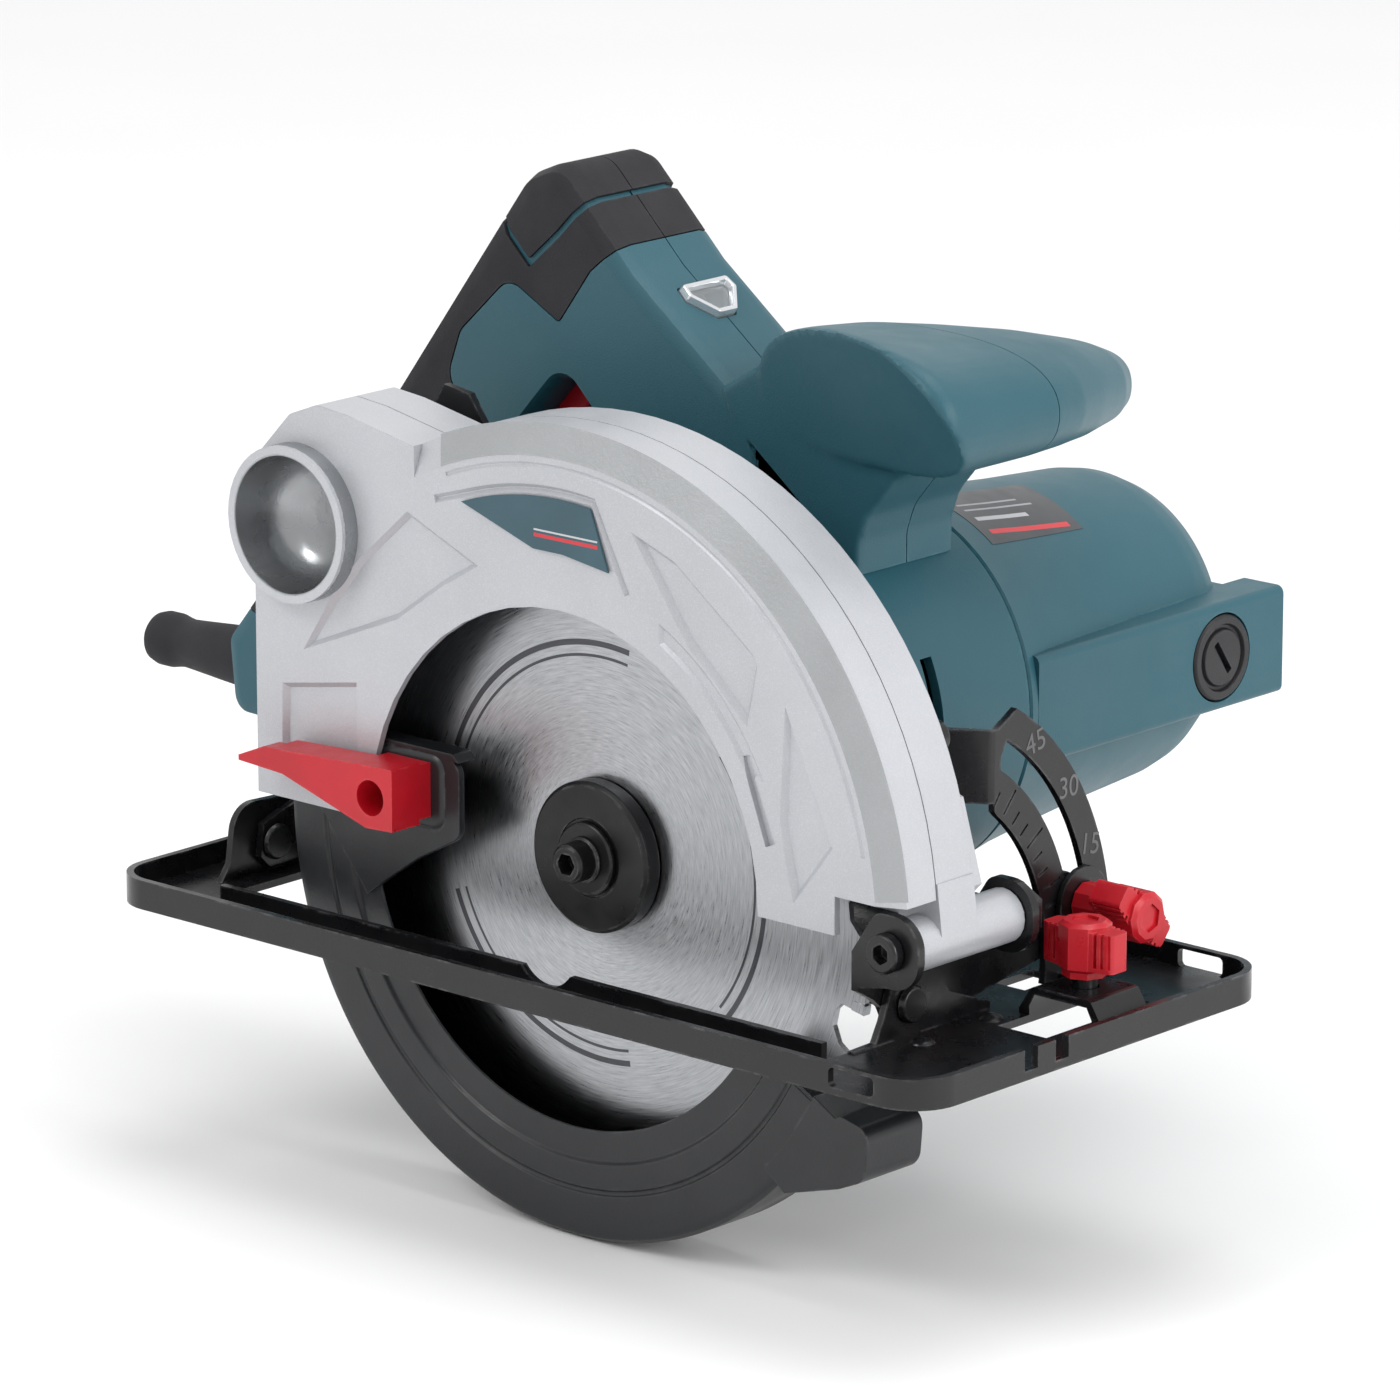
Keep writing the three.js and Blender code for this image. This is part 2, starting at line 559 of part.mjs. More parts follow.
function bladeBolt() {
  const profile = [[0, -13.5], [4.2, -13.5], [4.7, -12.9], [4.7, -7.7], [2.6, -7.7], [2.6, 10], [0, 10]];
  const body = turnY(profile, 0, HUB_Z, 18);
  return body.subtract(turnY(rod(2.5, -14, -9.5), 0, HUB_Z, 6));
}

function outerFlange() {
  return turnY([[5.3, -3.8], [3, -3.8], [3, -5.9], [FLANGE_RADIUS - 0.9, -5.9], [FLANGE_RADIUS, -5],
    [FLANGE_RADIUS, -1.1], [5.3, -1.1]], 0, HUB_Z, 28);
}

place('spindle', spindle(), FINISH.machinedSteel);
const outputGear = toothedWheel(GEAR_RADIUS, 1.3, GEAR_TEETH, 14, 23.5, 7.3, 0, HUB_Z);
place('output_gear', outputGear, FINISH.machinedSteel);
place('inner_flange', turnY(ring(5.3, FLANGE_RADIUS, 1.1, 3.2), 0, HUB_Z, 28), FINISH.blackSteel);
place('saw_blade', blade(), FINISH.machinedSteel);
place('outer_flange', outerFlange(), FINISH.blackSteel);
place('bolt_washer', turnY(ring(3, 8.6, -7.4, -6.2), 0, HUB_Z, 20), FINISH.blackSteel);
place('blade_bolt', bladeBolt(), FINISH.blackSteel);

// ---------------------------------------------------------------- lower guard

function sector(inner, outer, y0, y1, from, to, steps) {
  return sweepY(outline([
    ...arc(0, HUB_Z, outer, from, to, steps),
    ...arc(0, HUB_Z, inner, to, from, steps),
  ]), y0, y1);
}

function lowerGuard() {
  const { outer, inner, face, back, rim } = LOWER_GUARD;
  const front = -35;
  const rear = -190;
  let guard = sector(inner, outer, face, face + 1.8, front, rear, 31);
  guard = guard.add(sector(outer - rim, outer, face, back, front, rear, 31));
  guard = guard.add(sector(22, outer, back - 1.8, back, front - 10, rear, 29));
  guard = guard.add(turnY(ring(20.3, 26, back - 1.8, back), 0, HUB_Z, 36));

  // closed toe at the front end and the arm that carries the retracting lever
  const toe = outline([...arc(0, HUB_Z, 84.5, -45, -28, 5), [82, -15, 2], [91, -17, 4], [90, -29, 5],
    [82, -32.5], [66, -37]]);
  guard = guard.add(sweepY(toe, face, back));
  const arm = outline([[-64, 8], [-56, 14, 4], [-46, 20, 5], [-34, 28, 3], [-34, 45, 4], [-70, 45, 4],
    [-82, 30]]);
  guard = guard.add(sweepY(arm, face, face + 1.8));
  const armWall = outline([[-70, 45], [-82, 30], [-84.5, 30], [-72, 47], [-36, 47], [-34, 45]]);
  return guard.add(sweepY(armWall, face, face + 6));
}

// Red lever: a block bolted to the guard's arm with a tapering tongue to the rear.
function guardLever() {
  const side = outline([[-42.5, 29.8], [-51, 29.4], [-78, 37.4], [-85.5, 38.6], [-85.5, 41], [-82, 43],
    [-43.4, 44.7], [-42.5, 44.5]]);
  const end = outline([[-78, 37.4], [-92.4, 38.2], [-92.4, 39.5], [-84, 43], [-78, 43.1]]);
  return sweepY(side, -24.9, -17.2)
    .add(sweepY(side, LEVER.face, -24))
    .add(sweepY(end, LEVER.face, -21.2))
    .add(block(-56, -42.5, -18, LEVER.back, 31, 44))
    .subtract(turnY(rod(4.3, LEVER.face - 1, -17), -49.5, 36.8, 20));
}

place('lower_guard', lowerGuard(), FINISH.black);
place('guard_lever', guardLever(), FINISH.red);

// ---------------------------------------------------------------- motor

function frontHousing() {
  const { x, z, radius, joint } = MOTOR;
  const inside = radius - 2.6;
  let shell = turnY([[16, 33.3], [radius - 3, 33.3], [radius, 36], [radius, joint - GAP / 2],
    [inside, joint - GAP / 2], [inside, 38], [16, 36]], x, z, 40);
  const slit = outline([...arc(x, z, radius + 3, 1, 25, 6), ...arc(x, z, radius - 6, 25, 1, 6)]);
  shell = shell.subtract(sweepY(slit, 47.5, 51.5));
  for (const low of [150, 170, 190, 210, 280, 300, 320]) {
    const vent = outline([
      ...arc(x, z, radius + 3, low, low + 12, 3),
      ...arc(x, z, radius - 6, low + 12, low, 3),
    ]);
    shell = shell.subtract(sweepY(vent, 45, 50));
  }
  return shell;
}

function motorHousing() {
  const { x, z, joint, end, pad, brush } = MOTOR;
  const start = joint + GAP / 2;
  let body = turnY([[0, start], [45.7, start], [42.4, 108], [38.6, 156], [35.5, 166.5], [31, end],
    [0, end]],
    x, z, 40);
  const padBlock = (side) => {
    const shape = outline([[0, -13.2, 2], [pad, -13.2, 2], [pad, 13.2, 2], [0, 13.2, 2]]);
    const long = sweepY(shape, start + 3, 178);
    const tail = block(-50, pad - 12, end - 1, 182, -20, 20);
    return long.subtract(tail).rotate([0, 0, side > 0 ? 0 : 180])
      .translate([x, side > 0 ? 0 : start + 3 + 178, z]);
  };
  body = body.add(padBlock(1)).add(padBlock(-1));
  body = body.subtract(turnY([[0, start - 1], [43, start - 1], [38.4, 120], [33.5, 166.5], [0, 166.5]],
    x, z, 40));
  // brush pockets through the pads, rear bearing seat and cooling slots in the end
  body = body.subtract(turnX(rod(8.4, -60, 60), brush, 0, 24).translate([x, 0, z]));
  body = body.subtract(turnX(ring(0.01, 10.9, pad - 3.6, pad + 5), brush, 0, 32).translate([x, 0, z]));
  body = body.subtract(turnX(ring(0.01, 10.9, -pad - 5, -pad + 3.6), brush, 0, 32).translate([x, 0, z]));
  body = body.add(turnY(ring(9.8, 12.6, 160.5, 168), x, z, 24));
  for (const level of [-20, -12, 12, 20]) {
    body = body.subtract(block(x - 16, x + 16, 150, end + 2, z + level - 1.6, z + level + 1.6));
  }
  return body;
}

function brushHolder(side) {
  const inner = 13.2;
  return flip(turnX(ring(3.2, 7.6, inner, MOTOR.pad - 4.2), 0, 0, 16), side);
}

function carbonBrush(side) {
  return flip(sweepX(rectangle(-2, 2, -2.1, 2.1), 12.5, 26), side);
}

function brushCap(side) {
  const cap = turnX([[0, MOTOR.pad - 3.2], [10.5, MOTOR.pad - 3.2], [10.5, MOTOR.pad],
    [9.6, MOTOR.pad + 0.8], [0, MOTOR.pad + 0.8]], 0, 0, 24);
  return flip(cap.subtract(block(MOTOR.pad - 1.2, MOTOR.pad + 3, -0.8, 0.8, -4, 4)), side);
}

// Turns a brush part built on the +X side to its own side of the commutator.
function flip(body, side) {
  return body.rotate([0, 0, side > 0 ? 0 : 180]).translate([MOTOR.x, MOTOR.brush, MOTOR.z]);
}

function stator() {
  const core = turnY(ring(24.6, 33.5, 90, 136), 0, 0, 28);
  const windings = turnY(ring(25.5, 32, 85, 142), 0, 0, 28).intersect(block(-40, 40, 80, 150, -16, 16));
  return core.add(windings).translate([MOTOR.x, 0, MOTOR.z]);
}

function armatureShaft() {
  const { x, z } = MOTOR;
  const shaft = turnY([[0, 14], [4, 14], [4, 166.2], [0, 166.2]], x, z, 20);
  return shaft.add(toothedWheel(PINION_RADIUS, 0.9, PINION_TEETH, 13.5, 23.8, 2, x, z));
}

function armatureCore() {
  const core = toothedWheel(23.4, 1.6, 16, 92, 134, 4.3, 0, 0);
  return core.translate([MOTOR.x, 0, MOTOR.z]);
}

function commutator() {
  return turnY(ring(4.3, 12, 146, 160), MOTOR.x, MOTOR.z, 22);
}

function coolingFan() {
  let fan = turnY(ring(4.3, 38, 64, 66), 0, 0, 32).add(turnY(ring(4.3, 9, 64, 76), 0, 0, 20));
  const vaneCount = 9;
  for (let vane = 0; vane < vaneCount; vane += 1) {
    fan = fan.add(block(8, 37.5, 65, 75, -0.8, 0.8).rotate([0, 360 * vane / vaneCount, 0]));
  }
  return fan.translate([MOTOR.x, 0, MOTOR.z]);
}

function ratingLabel() {
  const { x, z } = MOTOR;
  const from = 54;
  const to = 84;
  return sweepY(outline([...arc(x, z, 46.2, from, to, 6), ...arc(x, z, 45.9, to, from, 6)]), 92, 128);
}

place('front_housing', frontHousing(), FINISH.teal);
place('motor_housing', motorHousing(), FINISH.teal);
place('stator', stator(), FINISH.copper);
place('armature_shaft', armatureShaft(), FINISH.machinedSteel);
place('armature_core', armatureCore(), FINISH.copper);
place('commutator', commutator(), FINISH.copper);
place('cooling_fan', coolingFan(), FINISH.black);
place('armature_rear_bearing', bearing(4.3, 9.4, 161.5, 166, MOTOR.x, MOTOR.z), FINISH.machinedSteel);
for (const [side, name] of [[1, 'front'], [-1, 'rear']]) {
  place(`brush_holder_${name}`, brushHolder(side), FINISH.brass);
  place(`carbon_brush_${name}`, carbonBrush(side), FINISH.carbon);
  place(`brush_cap_${name}`, brushCap(side), FINISH.black);
}

// ---------------------------------------------------------------- handle

function handleOutline() {
  return outline([
    [NECK_FRONT, 84], [12, 84], [-18, 60], [-20, 40], [-55, 36, 6], [-100, 22, 10], [-166, 22, 6],
    [-168, 42, 6], [-110, 112], [-66, 170.5, 8], [-54, 175.5, 7], [-30, ridge(-30)],
    [NECK_FRONT, ridge(NECK_FRONT)],
  ]);
}

function handleHole() {
  return outline([[-53, 126, 4], [-84, 92], [-116, 52, 8], [-58, 48, 8], [-44, 64], [-36, 82, 8],
    [-24, 97, 5]]);
}

function gripOutline() {
  return outline([[-172, 52], [-160, 62], [-120, 115], [-74, 180], [-50, 184], [-33, 160], [-44, 151],
    [-54, 137.5], [-70, 146, 5], [-86, 131, 5], [-90, 120, 4], [-84, 108, 4], [-96, 88], [-128, 46]]);
}

// Front grip: rounded sections along Y, full over the handle and pointed at the far end.
function frontGrip() {
  const sections = [[21, 50, 134.5, 33, 15.5], [23, 49.5, 134.5, 35, 17], [32, 47.5, 134.3, 37.5, 16.8],
    [45, 46, 133.7, 39, 16], [60, 46, 133, 39.2, 15], [72, 49, 132.3, 33.5, 14],
      [85, 53, 131.3, 24.5, 12.8],
    [100, 54.5, 130, 17, 10.2], [110, 54, 128.6, 10.5, 7.6], [116.5, 53.6, 127.5, 5, 4.2],
    [119.5, 53.5, 127, 2, 2]];
  const around = 20;
  const positions = [];
  for (const [y, x, z, wide, high] of sections) {
    for (let step = 0; step < around; step += 1) {
      const angle = 2 * Math.PI * step / around;
      positions.push(x + wide * Math.cos(angle), y, z + high * Math.sin(angle));
    }
  }
  const [first, last] = [sections[0], sections.at(-1)];
  positions.push(first[1], first[0] + 3, first[2], last[1], last[0], last[2]);
  const firstCap = sections.length * around;
  const index = [];
  for (let step = 0; step < around; step += 1) {
    const next = (step + 1) % around;
    for (let s = 0; s < sections.length - 1; s += 1) {
      const [a, b] = [s * around + step, s * around + next];
      index.push(a, b, a + around, b, b + around, a + around);
    }
    const tail = (sections.length - 1) * around;
    index.push(firstCap, next, step, firstCap + 1, tail + step, tail + next);
  }
  const geometry = new THREE.BufferGeometry();
  geometry.setAttribute('position', new THREE.Float32BufferAttribute(positions, 3));
  geometry.setIndex(index);
  return solid(geometry);
}

// Front grip on its neck. The neck follows the ridge, and a hollow along the ridge runs
// from the near end of the grip down to the handle's left side.
function frontHandle() {
  const neck = outline([[-4, 130], [10, 138.5], [40, 141], [66, 134], [62, 121], [50, 116, 6],
    [41.5, 106, 8], [NECK_FRONT, 99], [NECK_FRONT, 88], [12, 88]]);
  const scoop = turnX(rod(SCOOP_RADIUS, -60, 120), HANDLE_LEFT - SCOOP_RADIUS, 0, 72)
    .rotate([0, RIDGE_ANGLE, 0])
    .translate([0, 0, ridge(0)]);
  return sweepY(neck, HANDLE_LEFT, HANDLE_RIGHT).add(frontGrip()).subtract(scoop);
}

function handleHalf(side) {
  const near = HANDLE_Y + side * GAP / 2;
  const [y0, y1] = side < 0 ? [0, near] : [near, 140];
  const lensSeat = block(-33, -14, HANDLE_Y - 6.3, HANDLE_Y + 6.3, -2.2, 8)
    .rotate([0, RIDGE_ANGLE, 0])
    .translate(lensShift());
  let body = sweepY(handleOutline(), HANDLE_LEFT, HANDLE_RIGHT, 0, 4)
    .subtract(sweepY(handleHole(), HANDLE_LEFT - 5, HANDLE_RIGHT + 5))
    .add(frontHandle())
    .subtract(turnY(rod(MOTOR.radius + GAP, 30, 90), MOTOR.x, MOTOR.z, 40))
    .subtract(gripCut())
    .subtract(switchRoom())
    .subtract(lensSeat)
    .subtract(turnX(rod(8.6, -176, -150), HANDLE_Y, CORD.z, 24))
    .subtract(turnX(rod(10.6, -161, -155), HANDLE_Y, CORD.z, 24))
    .subtract(turnY(rod(5.3, HANDLE_Y + 6, 100), LOCK_OFF.x, LOCK_OFF.z, 20));
  for (const [x, z] of HANDLE_SCREWS) {
    body = body.subtract(turnY(rod(2.2, 50, 74), x, z, 12));
    body = body.subtract(turnY(rod(4.4, 72.7, 90), x, z, 16));
  }
  return body.intersect(block(-220, 200, y0, y1, 0, 250));
}

// Space for the rubber over the grip: a skin 2.9 mm deep, the rubber's 2.6 mm and a gap.
function gripCut() {
  const skin = 2.6 + GAP;
  const inside = sweepY(handleOutline(), HANDLE_LEFT + skin, HANDLE_RIGHT - skin, -skin);
  return sweepY(gripOutline(), HANDLE_LEFT - 5, HANDLE_RIGHT + 5, GAP).subtract(inside);
}

function gripHalf(side) {
  const skin = 2.6;
  const near = HANDLE_Y + side * GAP / 2;
  const [y0, y1] = side < 0 ? [HANDLE_LEFT - 1, near] : [near, HANDLE_RIGHT + 1];
  const inside = sweepY(handleOutline(), HANDLE_LEFT + skin, HANDLE_RIGHT - skin, -skin);
  const body = sweepY(handleOutline(), HANDLE_LEFT, HANDLE_RIGHT, 0, 4)
    .intersect(sweepY(gripOutline(), HANDLE_LEFT - 5, HANDLE_RIGHT + 5))
    .subtract(inside)
    .subtract(sweepY(handleHole(), HANDLE_LEFT - 5, HANDLE_RIGHT + 5, 3))
    .subtract(turnX(rod(10.9, -176, -150), HANDLE_Y, CORD.z, 24))
    .subtract(turnY(rod(5.3, HANDLE_Y + 6, 100), LOCK_OFF.x, LOCK_OFF.z, 20));
  return largest(body.intersect(block(-220, 200, y0, y1, 0, 250)));
}

// The biggest of the separate bodies of a solid.
function largest(body) {
  return body.decompose().reduce((best, piece) => (piece.volume() > best.volume() ? piece : best));
}

// A corner in the grip: along its inner side, down from the top, and out into the hole.
function gripPoint(along, out, radius = 0) {
  const [down, across] = [[-0.674, -0.739], [0.739, -0.674]];
  return [-53 + along * down[0] + out * across[0], 126 + along * down[1] + out * across[1], radius];
}

function switchBlock() {
  const box = [gripPoint(1, -31), gripPoint(1, -15.2), gripPoint(25, -15.2), gripPoint(25, -31)];
  return sweepY(outline(box), 51, 69);
}

function switchRoom() {
  const room = [gripPoint(0.7, -31.3), gripPoint(0.7, -14.9), gripPoint(25.3, -14.9), gripPoint(25.3, -31.3)];
  const slot = [gripPoint(1.6, -15.2), gripPoint(1.6, 2), gripPoint(22.6, 2), gripPoint(22.6, -15.2)];
  return sweepY(outline(room), 50.7, 69.3).add(sweepY(outline(slot), 53.7, 66.3));
}

function trigger() {
  const shape = [gripPoint(2, -9), gripPoint(2, 4, 2.5), gripPoint(8, 6, 5), gripPoint(22.2, 4.5, 2.5),
    gripPoint(22.2, -9)];
  return sweepY(outline(shape), 54, 66, 0, 0.8);
}

// Moves the window, built round its own slope, to its place on the ridge.
function lensShift() {
  return [LENS_X + 18.7, 0, ridge(LENS_X) - 14.2];
}

function lens() {
  const shape = outline([[-31.6, -5.2, 1.5], [-19, -5.2, 2], [-15.6, 0, 2], [-19, 5.2, 2],
    [-31.6, 5.2, 1.5]]);
  return sweepZ(shape, -1.8, 1.2)
    .translate([0, HANDLE_Y, 0])
    .rotate([0, RIDGE_ANGLE, 0])
    .translate(lensShift());
}

function cordBoot() {
  const { bore, z } = CORD;
  const profile = [[bore, -208], [5.2, -208], [6.8, -204.5], [6.8, -200], [6, -197], [8.2, -168],
    [8.2, -160.7], [10.2, -160.7], [10.2, -155.3], [bore, -155.3]];
  return turnX(profile, HANDLE_Y, z, 18);
}

function handleScrew(x, z) {
  return turnY([[0, 62], [1.9, 62], [1.9, 73], [4, 73], [4, 75.6], [3.4, 76.2], [0, 76.2]], x, z, 16);
}

function lockOffButton() {
  return turnY([[0, HANDLE_Y + 9.8], [4.9, HANDLE_Y + 9.8], [4.9, 78.2], [4, 79.4], [0, 79.4]],
    LOCK_OFF.x, LOCK_OFF.z, 20);
}

place('handle_left', largest(handleHalf(-1)), FINISH.teal);
place('handle_right', largest(handleHalf(1)), FINISH.teal);
place('grip_left', gripHalf(-1), FINISH.rubber);
place('grip_right', gripHalf(1), FINISH.rubber);
place('switch_block', switchBlock(), FINISH.black);
place('trigger', trigger(), FINISH.red);
place('lock_off_button', lockOffButton(), FINISH.black);
place('indicator_lens', lens(), FINISH.lens);
place('cord_boot', cordBoot(), FINISH.rubber);
HANDLE_SCREWS.forEach(([x, z], i) => place(`handle_screw_${i + 1}`, handleScrew(x, z), FINISH.blackSteel));
place('rating_label', ratingLabel(), FINISH.black);

// ---------------------------------------------------------------- clamp lever and lock pin

function clampBolt() {
  return turnY([[0, 7.9], [6, 7.9], [6, 9.6], [3, 9.6], [3, 30], [0, 30]], CLAMP.x, CLAMP.z, 20);
}

function depthLever() {
  const hub = turnY([[3.3, 18.5], [8, 18.5], [8, 27], [6.5, 28.5], [3.3, 28.5]], 0, 0, 24);
  const arm = outline([[0, -5], [-30, -4, 3], [-34, 0, 2], [-30, 4, 3], [0, 6]]);
  return hub.add(sweepY(arm, 21, 28).subtract(turnY(rod(4, 18, 30), 0, 0, 20)))
    .rotate([0, 15, 0]).translate([CLAMP.x, 0, CLAMP.z]);
}

place('depth_clamp_bolt', clampBolt(), FINISH.blackSteel);
place('depth_lever', depthLever(), FINISH.black);
place('spindle_lock_button', turnZ([[0, 70], [3, 70], [3, 82], [5.4, 82], [5.4, 86], [4.4, 87], [0, 87]],
  LOCK.x, LOCK.y, 16), FINISH.black);

export default saw;
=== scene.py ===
# Looks of a hand-held circular saw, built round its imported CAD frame.
#
# Shapes are laid out in millimetres in the blade's frame: y = 0 is the blade's middle
# plane, x = 0 its axis and z = 0 the underside of the shoe. piece() moves them to the
# frame's own place, in metres.

import json
from math import atan2, cos, pi, radians, sin, tan

import bmesh
import bpy
from mathutils import Matrix, Vector


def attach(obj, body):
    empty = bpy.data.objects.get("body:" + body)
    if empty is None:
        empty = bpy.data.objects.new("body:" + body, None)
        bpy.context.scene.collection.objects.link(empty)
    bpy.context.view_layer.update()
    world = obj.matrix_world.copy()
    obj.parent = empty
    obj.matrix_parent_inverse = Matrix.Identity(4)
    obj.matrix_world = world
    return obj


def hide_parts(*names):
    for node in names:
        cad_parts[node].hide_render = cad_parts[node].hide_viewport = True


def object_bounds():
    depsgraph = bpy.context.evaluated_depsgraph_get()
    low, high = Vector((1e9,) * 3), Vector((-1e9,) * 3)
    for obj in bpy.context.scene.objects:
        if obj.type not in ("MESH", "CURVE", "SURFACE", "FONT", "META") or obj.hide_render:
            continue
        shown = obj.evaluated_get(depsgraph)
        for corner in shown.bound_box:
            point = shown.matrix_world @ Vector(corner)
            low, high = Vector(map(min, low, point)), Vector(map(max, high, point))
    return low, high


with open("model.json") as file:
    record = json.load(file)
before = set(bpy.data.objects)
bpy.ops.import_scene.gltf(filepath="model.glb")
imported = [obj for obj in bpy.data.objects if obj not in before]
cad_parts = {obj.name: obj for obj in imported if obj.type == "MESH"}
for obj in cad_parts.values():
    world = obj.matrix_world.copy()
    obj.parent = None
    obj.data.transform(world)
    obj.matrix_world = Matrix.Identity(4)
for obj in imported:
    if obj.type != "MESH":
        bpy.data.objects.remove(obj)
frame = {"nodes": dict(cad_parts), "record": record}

cad_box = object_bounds()
scene = bpy.context.scene

MM = 0.001
HANDLE_Y = 60.0
HANDLE_HALF = 17.0
LEFT, RIGHT = HANDLE_Y - HANDLE_HALF, HANDLE_Y + HANDLE_HALF
RIDGE_ANGLE = 37.4
NECK_FRONT = 39
SCOOP_RADIUS = 88
CORD_Z = 32
LOCK_OFF = (-48, 147)
LENS_X = -24.9
LENS = [(0, -8), (4.2, -8.6), (10.8, -3.2), (10.8, 3.2), (4.2, 8.6), (0, 8)]
HUB_Z = 27.5
SHOE = dict(back=-126, front=127.3, left=-38.2, right=86, rim=7.1, sheet=1.8)
WINDOW = dict(back=-104, front=88.3, left=-24, right=19)
BEVEL = (2, 9.3)
SCALE_BACK, SCALE_FACE = 88.3, 90.1
SLOT_OUTER, SLOT_INNER = 63.6, 56.8
BOLT_RADIUS, BOLT_ANGLE = 60.2, 10.5
BEVEL_BOLT = (BEVEL[0] + BOLT_RADIUS * cos(radians(BOLT_ANGLE)),
              BEVEL[1] + BOLT_RADIUS * sin(radians(BOLT_ANGLE)))
DEPTH = (97, 26)
FENCE_SCREW = (109, 40.5)
MOTOR = (12, 54)
MOTOR_RADIUS = 46
SADDLE_RADIUS = MOTOR_RADIUS + 0.25
MOTOR_END = 170.5
# (radius, place along the axis) of the rear housing, from its joint to its end face
MOTOR_PROFILE = [(45.7, 83.15), (43.9, 94), (42.4, 108), (40.2, 132), (38.6, 156), (37.6, 161.5),
                 (35.4, 166.4), (31, 169.6), (27.5, MOTOR_END)]
PAD = 45.3
BRUSH_Y = 154.3
FACE_Y = -15.5
DUST_PORT = (-82, 95.3)
LABEL_LIFT = 0.12
SEAM = 0.16
COVER_SCREWS = [(-62, 112), (88, 68.5)]
HANDLE_SCREWS = [(-92, 37), (-8, 119)]

TO_FRAME = Matrix.Translation((0, -HANDLE_Y * MM, 0)) @ Matrix.Scale(MM, 4)


# ---------------------------------------------------------------- outlines

def outline(corners, step=0.16):
    """Points of an outline whose corners are (u, v) or, where rounded, (u, v, radius)."""
    points = []
    for i, corner in enumerate(corners):
        here = Vector(corner[:2])
        radius = corner[2] if len(corner) > 2 else 0
        if radius == 0:
            points.append(tuple(here))
            continue
        last = (Vector(corners[i - 1][:2]) - here).normalized()
        following = (Vector(corners[(i + 1) % len(corners)][:2]) - here).normalized()
        half = last.angle(following) / 2
        centre = here + (last + following).normalized() * (radius / sin(half))
        start = here + last * (radius / tan(half)) - centre
        stop = here + following * (radius / tan(half)) - centre
        turn = atan2(start.x * stop.y - start.y * stop.x, start.dot(stop))
        count = max(3, round(abs(turn) / step))
        for s in range(count + 1):
            a = turn * s / count
            points.append((centre.x + start.x * cos(a) - start.y * sin(a),
                           centre.y + start.x * sin(a) + start.y * cos(a)))
    return points


def arc(u, v, radius, start, stop, count=24):
    angles = [radians(start + (stop - start) * s / count) for s in range(count + 1)]
    return [(u + radius * cos(a), v + radius * sin(a)) for a in angles]


def rectangle(u0, u1, v0, v1, radius=0):
    return outline([(u0, v0, radius), (u1, v0, radius), (u1, v1, radius), (u0, v1, radius)])


def offset(points, distance):
    """The outline moved outwards by distance, or inwards where it is negative."""
    area = sum(p[0] * q[1] - q[0] * p[1] for p, q in zip(points, points[1:] + points[:1]))
    side = 1 if area > 0 else -1
    moved = []
    for i, point in enumerate(points):
        before = (Vector(point) - Vector(points[i - 1])).normalized()
        after = (Vector(points[(i + 1) % len(points)]) - Vector(point)).normalized()
        normals = [Vector((d.y, -d.x)) * side for d in (before, after)]
        middle = (normals[0] + normals[1]).normalized()
        reach = distance / max(0.35, middle.dot(normals[0]))
        moved.append((point[0] + middle.x * reach, point[1] + middle.y * reach))
    return moved


# ---------------------------------------------------------------- solids

def solid(bm):
    bmesh.ops.recalc_face_normals(bm, faces=bm.faces)
    mesh = bpy.data.meshes.new("solid")
    bm.to_mesh(mesh)
    bm.free()
    obj = bpy.data.objects.new("solid", mesh)
    scene.collection.objects.link(obj)
    return obj


def at(axis, u, v, w):
    return {"X": (w, u, v), "Y": (u, w, v), "Z": (u, v, w)}[axis]


def sweep(axis, points, start, stop, chamfer=0, rings=1, far_points=None):
    """An outline swept along an axis; far_points gives it another outline at its end."""
    bm = bmesh.new()
    near = [bm.verts.new(at(axis, u, v, start)) for u, v in points]
    far = [bm.verts.new(at(axis, u, v, stop)) for u, v in far_points or points]
    caps = [bm.faces.new(near), bm.faces.new(far)]
    for i in range(len(points)):
        j = (i + 1) % len(points)
        bm.faces.new((near[i], near[j], far[j], far[i]))
    bmesh.ops.recalc_face_normals(bm, faces=bm.faces)
    if chamfer:
        edges = list(caps[0].edges) + list(caps[1].edges)
        bmesh.ops.bevel(bm, geom=edges, offset=chamfer, segments=rings, profile=0.5, affect="EDGES")
    return solid(bm)


def block(x0, x1, y0, y1, z0, z1):
    return sweep("Z", rectangle(x0, x1, y0, y1), z0, z1)


def lathe(axis, profile, centre=(0, 0), steps=96, start=0, stop=360):
    """A closed profile of (radius, place along the axis), turned wholly or partly."""
    bm = bmesh.new()
    whole = stop - start == 360
    rings = []
    for s in range(steps if whole else steps + 1):
        angle = radians(start + (stop - start) * s / steps)
        ring = []
        for k, (radius, along) in enumerate(profile):
            if radius == 0 and s > 0:
                ring.append(rings[0][k])
                continue
            u, v = centre[0] + radius * cos(angle), centre[1] + radius * sin(angle)
            ring.append(bm.verts.new(at(axis, u, v, along)))
        rings.append(ring)
    count = len(profile)
    for s in range(steps):
        ring, following = rings[s], rings[(s + 1) % len(rings)]
        for k in range(count):
            corners = [ring[k], ring[(k + 1) % count], following[(k + 1) % count], following[k]]
            corners = list(dict.fromkeys(corners))
            if len(corners) > 2:
                bm.faces.new(corners)
    if not whole:
        bm.faces.new(rings[0])
        bm.faces.new(rings[-1])
    return solid(bm)


def rod(radius, start, stop):
    return [(0, start), (radius, start), (radius, stop), (0, stop)]


def band(inner, outer, start, stop):
    return [(inner, start), (outer, start), (outer, stop), (inner, stop)]


def hull(points):
    bm = bmesh.new()
    for point in points:
        bm.verts.new(point)
    bmesh.ops.convex_hull(bm, input=bm.verts)
    return solid(bm)


